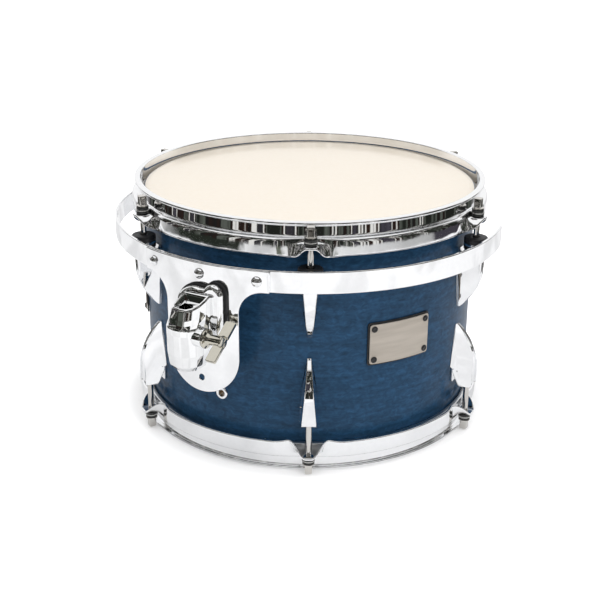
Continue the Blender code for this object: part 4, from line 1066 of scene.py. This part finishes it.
def paper_edge(tree, angle):
    """What stands at the paper's edge, all round from behind, as only mirrors show it."""
    green, slate, brown = (0.020, 0.025, 0.019), (0.055, 0.050, 0.062), (0.014, 0.007, 0.005)
    things = [(-180, 0.9), (-105, 0.75), (-80, green), (-40, green), (-37, 0.85), (-24, 0.6), (-12, 0.8),
              (-10, (0.13, 0.14, 0.11)), (-1, (0.15, 0.16, 0.13)), (1, 0.8), (27, 0.75), (60, 0.5), (74, 0.42),
              (77, slate), (100, slate), (103, brown), (127, brown), (131, 0.6), (180, 0.9)]
    return ramp(tree, angle, [((degrees + 180) / 360, colour) for degrees, colour in things])


def mix(tree, factor, first, second):
    """Shader between two, by a factor."""
    made = node(tree, "MixShader", Fac=factor)
    give(tree, made.inputs[1], first)
    give(tree, made.inputs[2], second)
    return made.outputs["Shader"]


def make_floor(room):
    """White paper: a matt sheet with the drum's shadow, that only mirrors show to end before the camera."""
    mesh = bpy.data.meshes.new("studio_floor")
    mesh.from_pydata([(x, y, -0.0004) for x, y in ((-6, -6), (6, -6), (6, 6), (-6, 6))], [], [(0, 1, 2, 3)])
    made = new_object("studio_floor", mesh)
    finish, tree, shader = new_finish("floor_white", (0.86, 0.86, 0.865), Roughness=0.9, Specular_IOR_Level=0.1,
                                      Emission_Color=WHITE)
    path = node(tree, "LightPath").outputs
    place = here(tree)
    from_axis = operate(tree, "VectorMath", "SUBTRACT", "Vector", place, tuple(AXIS))
    direction = operate(tree, "VectorMath", "NORMALIZE", "Vector", from_axis)
    far = operate(tree, "VectorMath", "LENGTH", "Value", from_axis)
    split = node(tree, "SeparateXYZ", Vector=direction).outputs
    sway = maths(tree, "SUBTRACT", noise(tree, place, 9.0, 2.0), 0.5)
    fibre = noise(tree, place, 90.0, 3.0)
    seen = maths(tree, "MULTIPLY", path["Is Camera Ray"], across(tree, far, 0.16, 0.21, 0.26, 1.0))
    clouds = across(tree, noise(tree, place, 5.0, 2.0, distortion=0.8), 0.35, 0.6, 0.0, 0.17)
    shine = maths(tree, "MAXIMUM", maths(tree, "MULTIPLY", path["Is Glossy Ray"], clouds),
                  maths(tree, "MULTIPLY", path["Is Transmission Ray"], 0.13))
    put(tree, shader, Base_Color=ramp(tree, fibre, [(0.3, (0.85, 0.85, 0.855)), (0.7, (0.87, 0.87, 0.875))]),
        Emission_Strength=maths(tree, "MAXIMUM", seen, shine))
    angle = maths(tree, "ARCTAN2", split["X"], maths(tree, "MULTIPLY", split["Y"], -1.0))
    angle = maths(tree, "ADD", maths(tree, "MULTIPLY_ADD", angle, 0.5 / math.pi, 0.5),
                  maths(tree, "MULTIPLY", sway, 0.05))
    edge = node(tree, "Emission", Color=paper_edge(tree, angle)).outputs["Emission"]
    beyond = node(tree, "Emission", Color=use(tree, room, Direction=direction)["Color"]).outputs["Emission"]
    swayed = maths(tree, "MULTIPLY_ADD", sway, 0.02, far)
    mirrored = maths(tree, "MULTIPLY", path["Is Glossy Ray"], across(tree, split["Y"], 0.75, 0.45))
    shown = shader.outputs["BSDF"]
    for start, end, thing in ((0.715, 0.722, edge), (0.752, 0.760, beyond)):
        shown = mix(tree, maths(tree, "MULTIPLY", mirrored, across(tree, swayed, start, end)), shown, thing)
    put(tree, tree.nodes["Material Output"], Surface=shown)
    mesh.materials.append(finish)


def make_world(room):
    """White surroundings and an even soft light, with the dim room before the camera that only mirrors show."""
    world = bpy.data.worlds.new("studio")
    bpy.context.scene.world = world
    world.use_nodes = True
    tree = world.node_tree
    light = tree.nodes["Background"]
    put(tree, light, Color=WHITE, Strength=0.62)
    path = node(tree, "LightPath").outputs
    direction = node(tree, "TexCoord").outputs["Generated"]
    split = node(tree, "SeparateXYZ", Vector=direction).outputs
    shown = node(tree, "Background", Color=WHITE, Strength=1.0)
    dark = node(tree, "Background", Color=use(tree, room, Direction=direction)["Color"], Strength=1.0)
    shade = maths(tree, "MULTIPLY", across(tree, split["Y"], 0.5, 0.2), across(tree, split["Z"], 0.80, 0.74))
    shade = maths(tree, "MAXIMUM", shade, across(tree, split["Z"], 0.985, 0.993))
    shade = maths(tree, "MULTIPLY", shade, path["Is Glossy Ray"])
    looked = maths(tree, "MAXIMUM", path["Is Camera Ray"], path["Is Glossy Ray"])
    looked = maths(tree, "MAXIMUM", looked, path["Is Transmission Ray"])
    surface = mix(tree, looked, light.outputs["Background"], shown.outputs["Background"])
    put(tree, tree.nodes["World Output"], Surface=mix(tree, shade, surface, dark.outputs["Background"]))


def make_lamp(name, place, width, height, watts):
    """Soft rectangular lamp at a place from the drum's axis, that faces the drum."""
    data = bpy.data.lights.new(name, "AREA")
    data.shape = "RECTANGLE"
    data.size, data.size_y = width, height
    data.energy = watts
    made = new_object(name, data)
    place, target = Vector(AXIS + place), Vector(AXIS + (0, 0, 0.1))
    facing = (place - target).to_track_quat("Z", "Y").to_matrix().to_4x4()
    made.matrix_world = Matrix.Translation(place) @ facing
    made.visible_glossy = False


def make_camera():
    """Camera where the photograph was taken from: 20.4 degrees above the horizon, a metre from the drum."""
    data = bpy.data.cameras.new("camera")
    data.sensor_width = 36.0
    data.lens = 65.89
    data.shift_y = -0.0367
    made = new_object("camera", data)
    place = Matrix.Translation(AXIS + (-0.00827, -0.98164, 0.48101))
    tilt = Matrix.Rotation(math.radians(90 - 20.416), 4, "X") @ Matrix.Rotation(math.radians(0.440), 4, "Z")
    made.matrix_world = place @ tilt
    bpy.context.scene.camera = made


make_camera()
ROOM = room_group()
make_world(ROOM)
make_floor(ROOM)
make_lamp("overhead", (0.1, -0.3, 1.5), 1.6, 1.2, 11.0)
make_lamp("left_front", (-1.4, -1.3, 0.9), 0.9, 1.2, 1.0)
make_lamp("right_front", (0.75, -1.5, 1.0), 0.9, 1.2, 6.5)

make_shell()
make_head("batter", HEIGHT - RIM_RISE, 1)
make_head("resonant", RIM_RISE, -1)
for side, rim, away in (("upper", HEIGHT, 1), ("lower", 0.0, -1)):
    make_hoop(side, rim, away)
    make_rods(side, rim, away)
    make_washers(side, rim, away)
    make_lugs(side, away)
make_lug_screws()
make_band()
make_plate()
make_holder()
make_clamp()
make_grommets()
make_badges()
make_vent()

bpy.context.scene.view_settings.view_transform = "Standard"
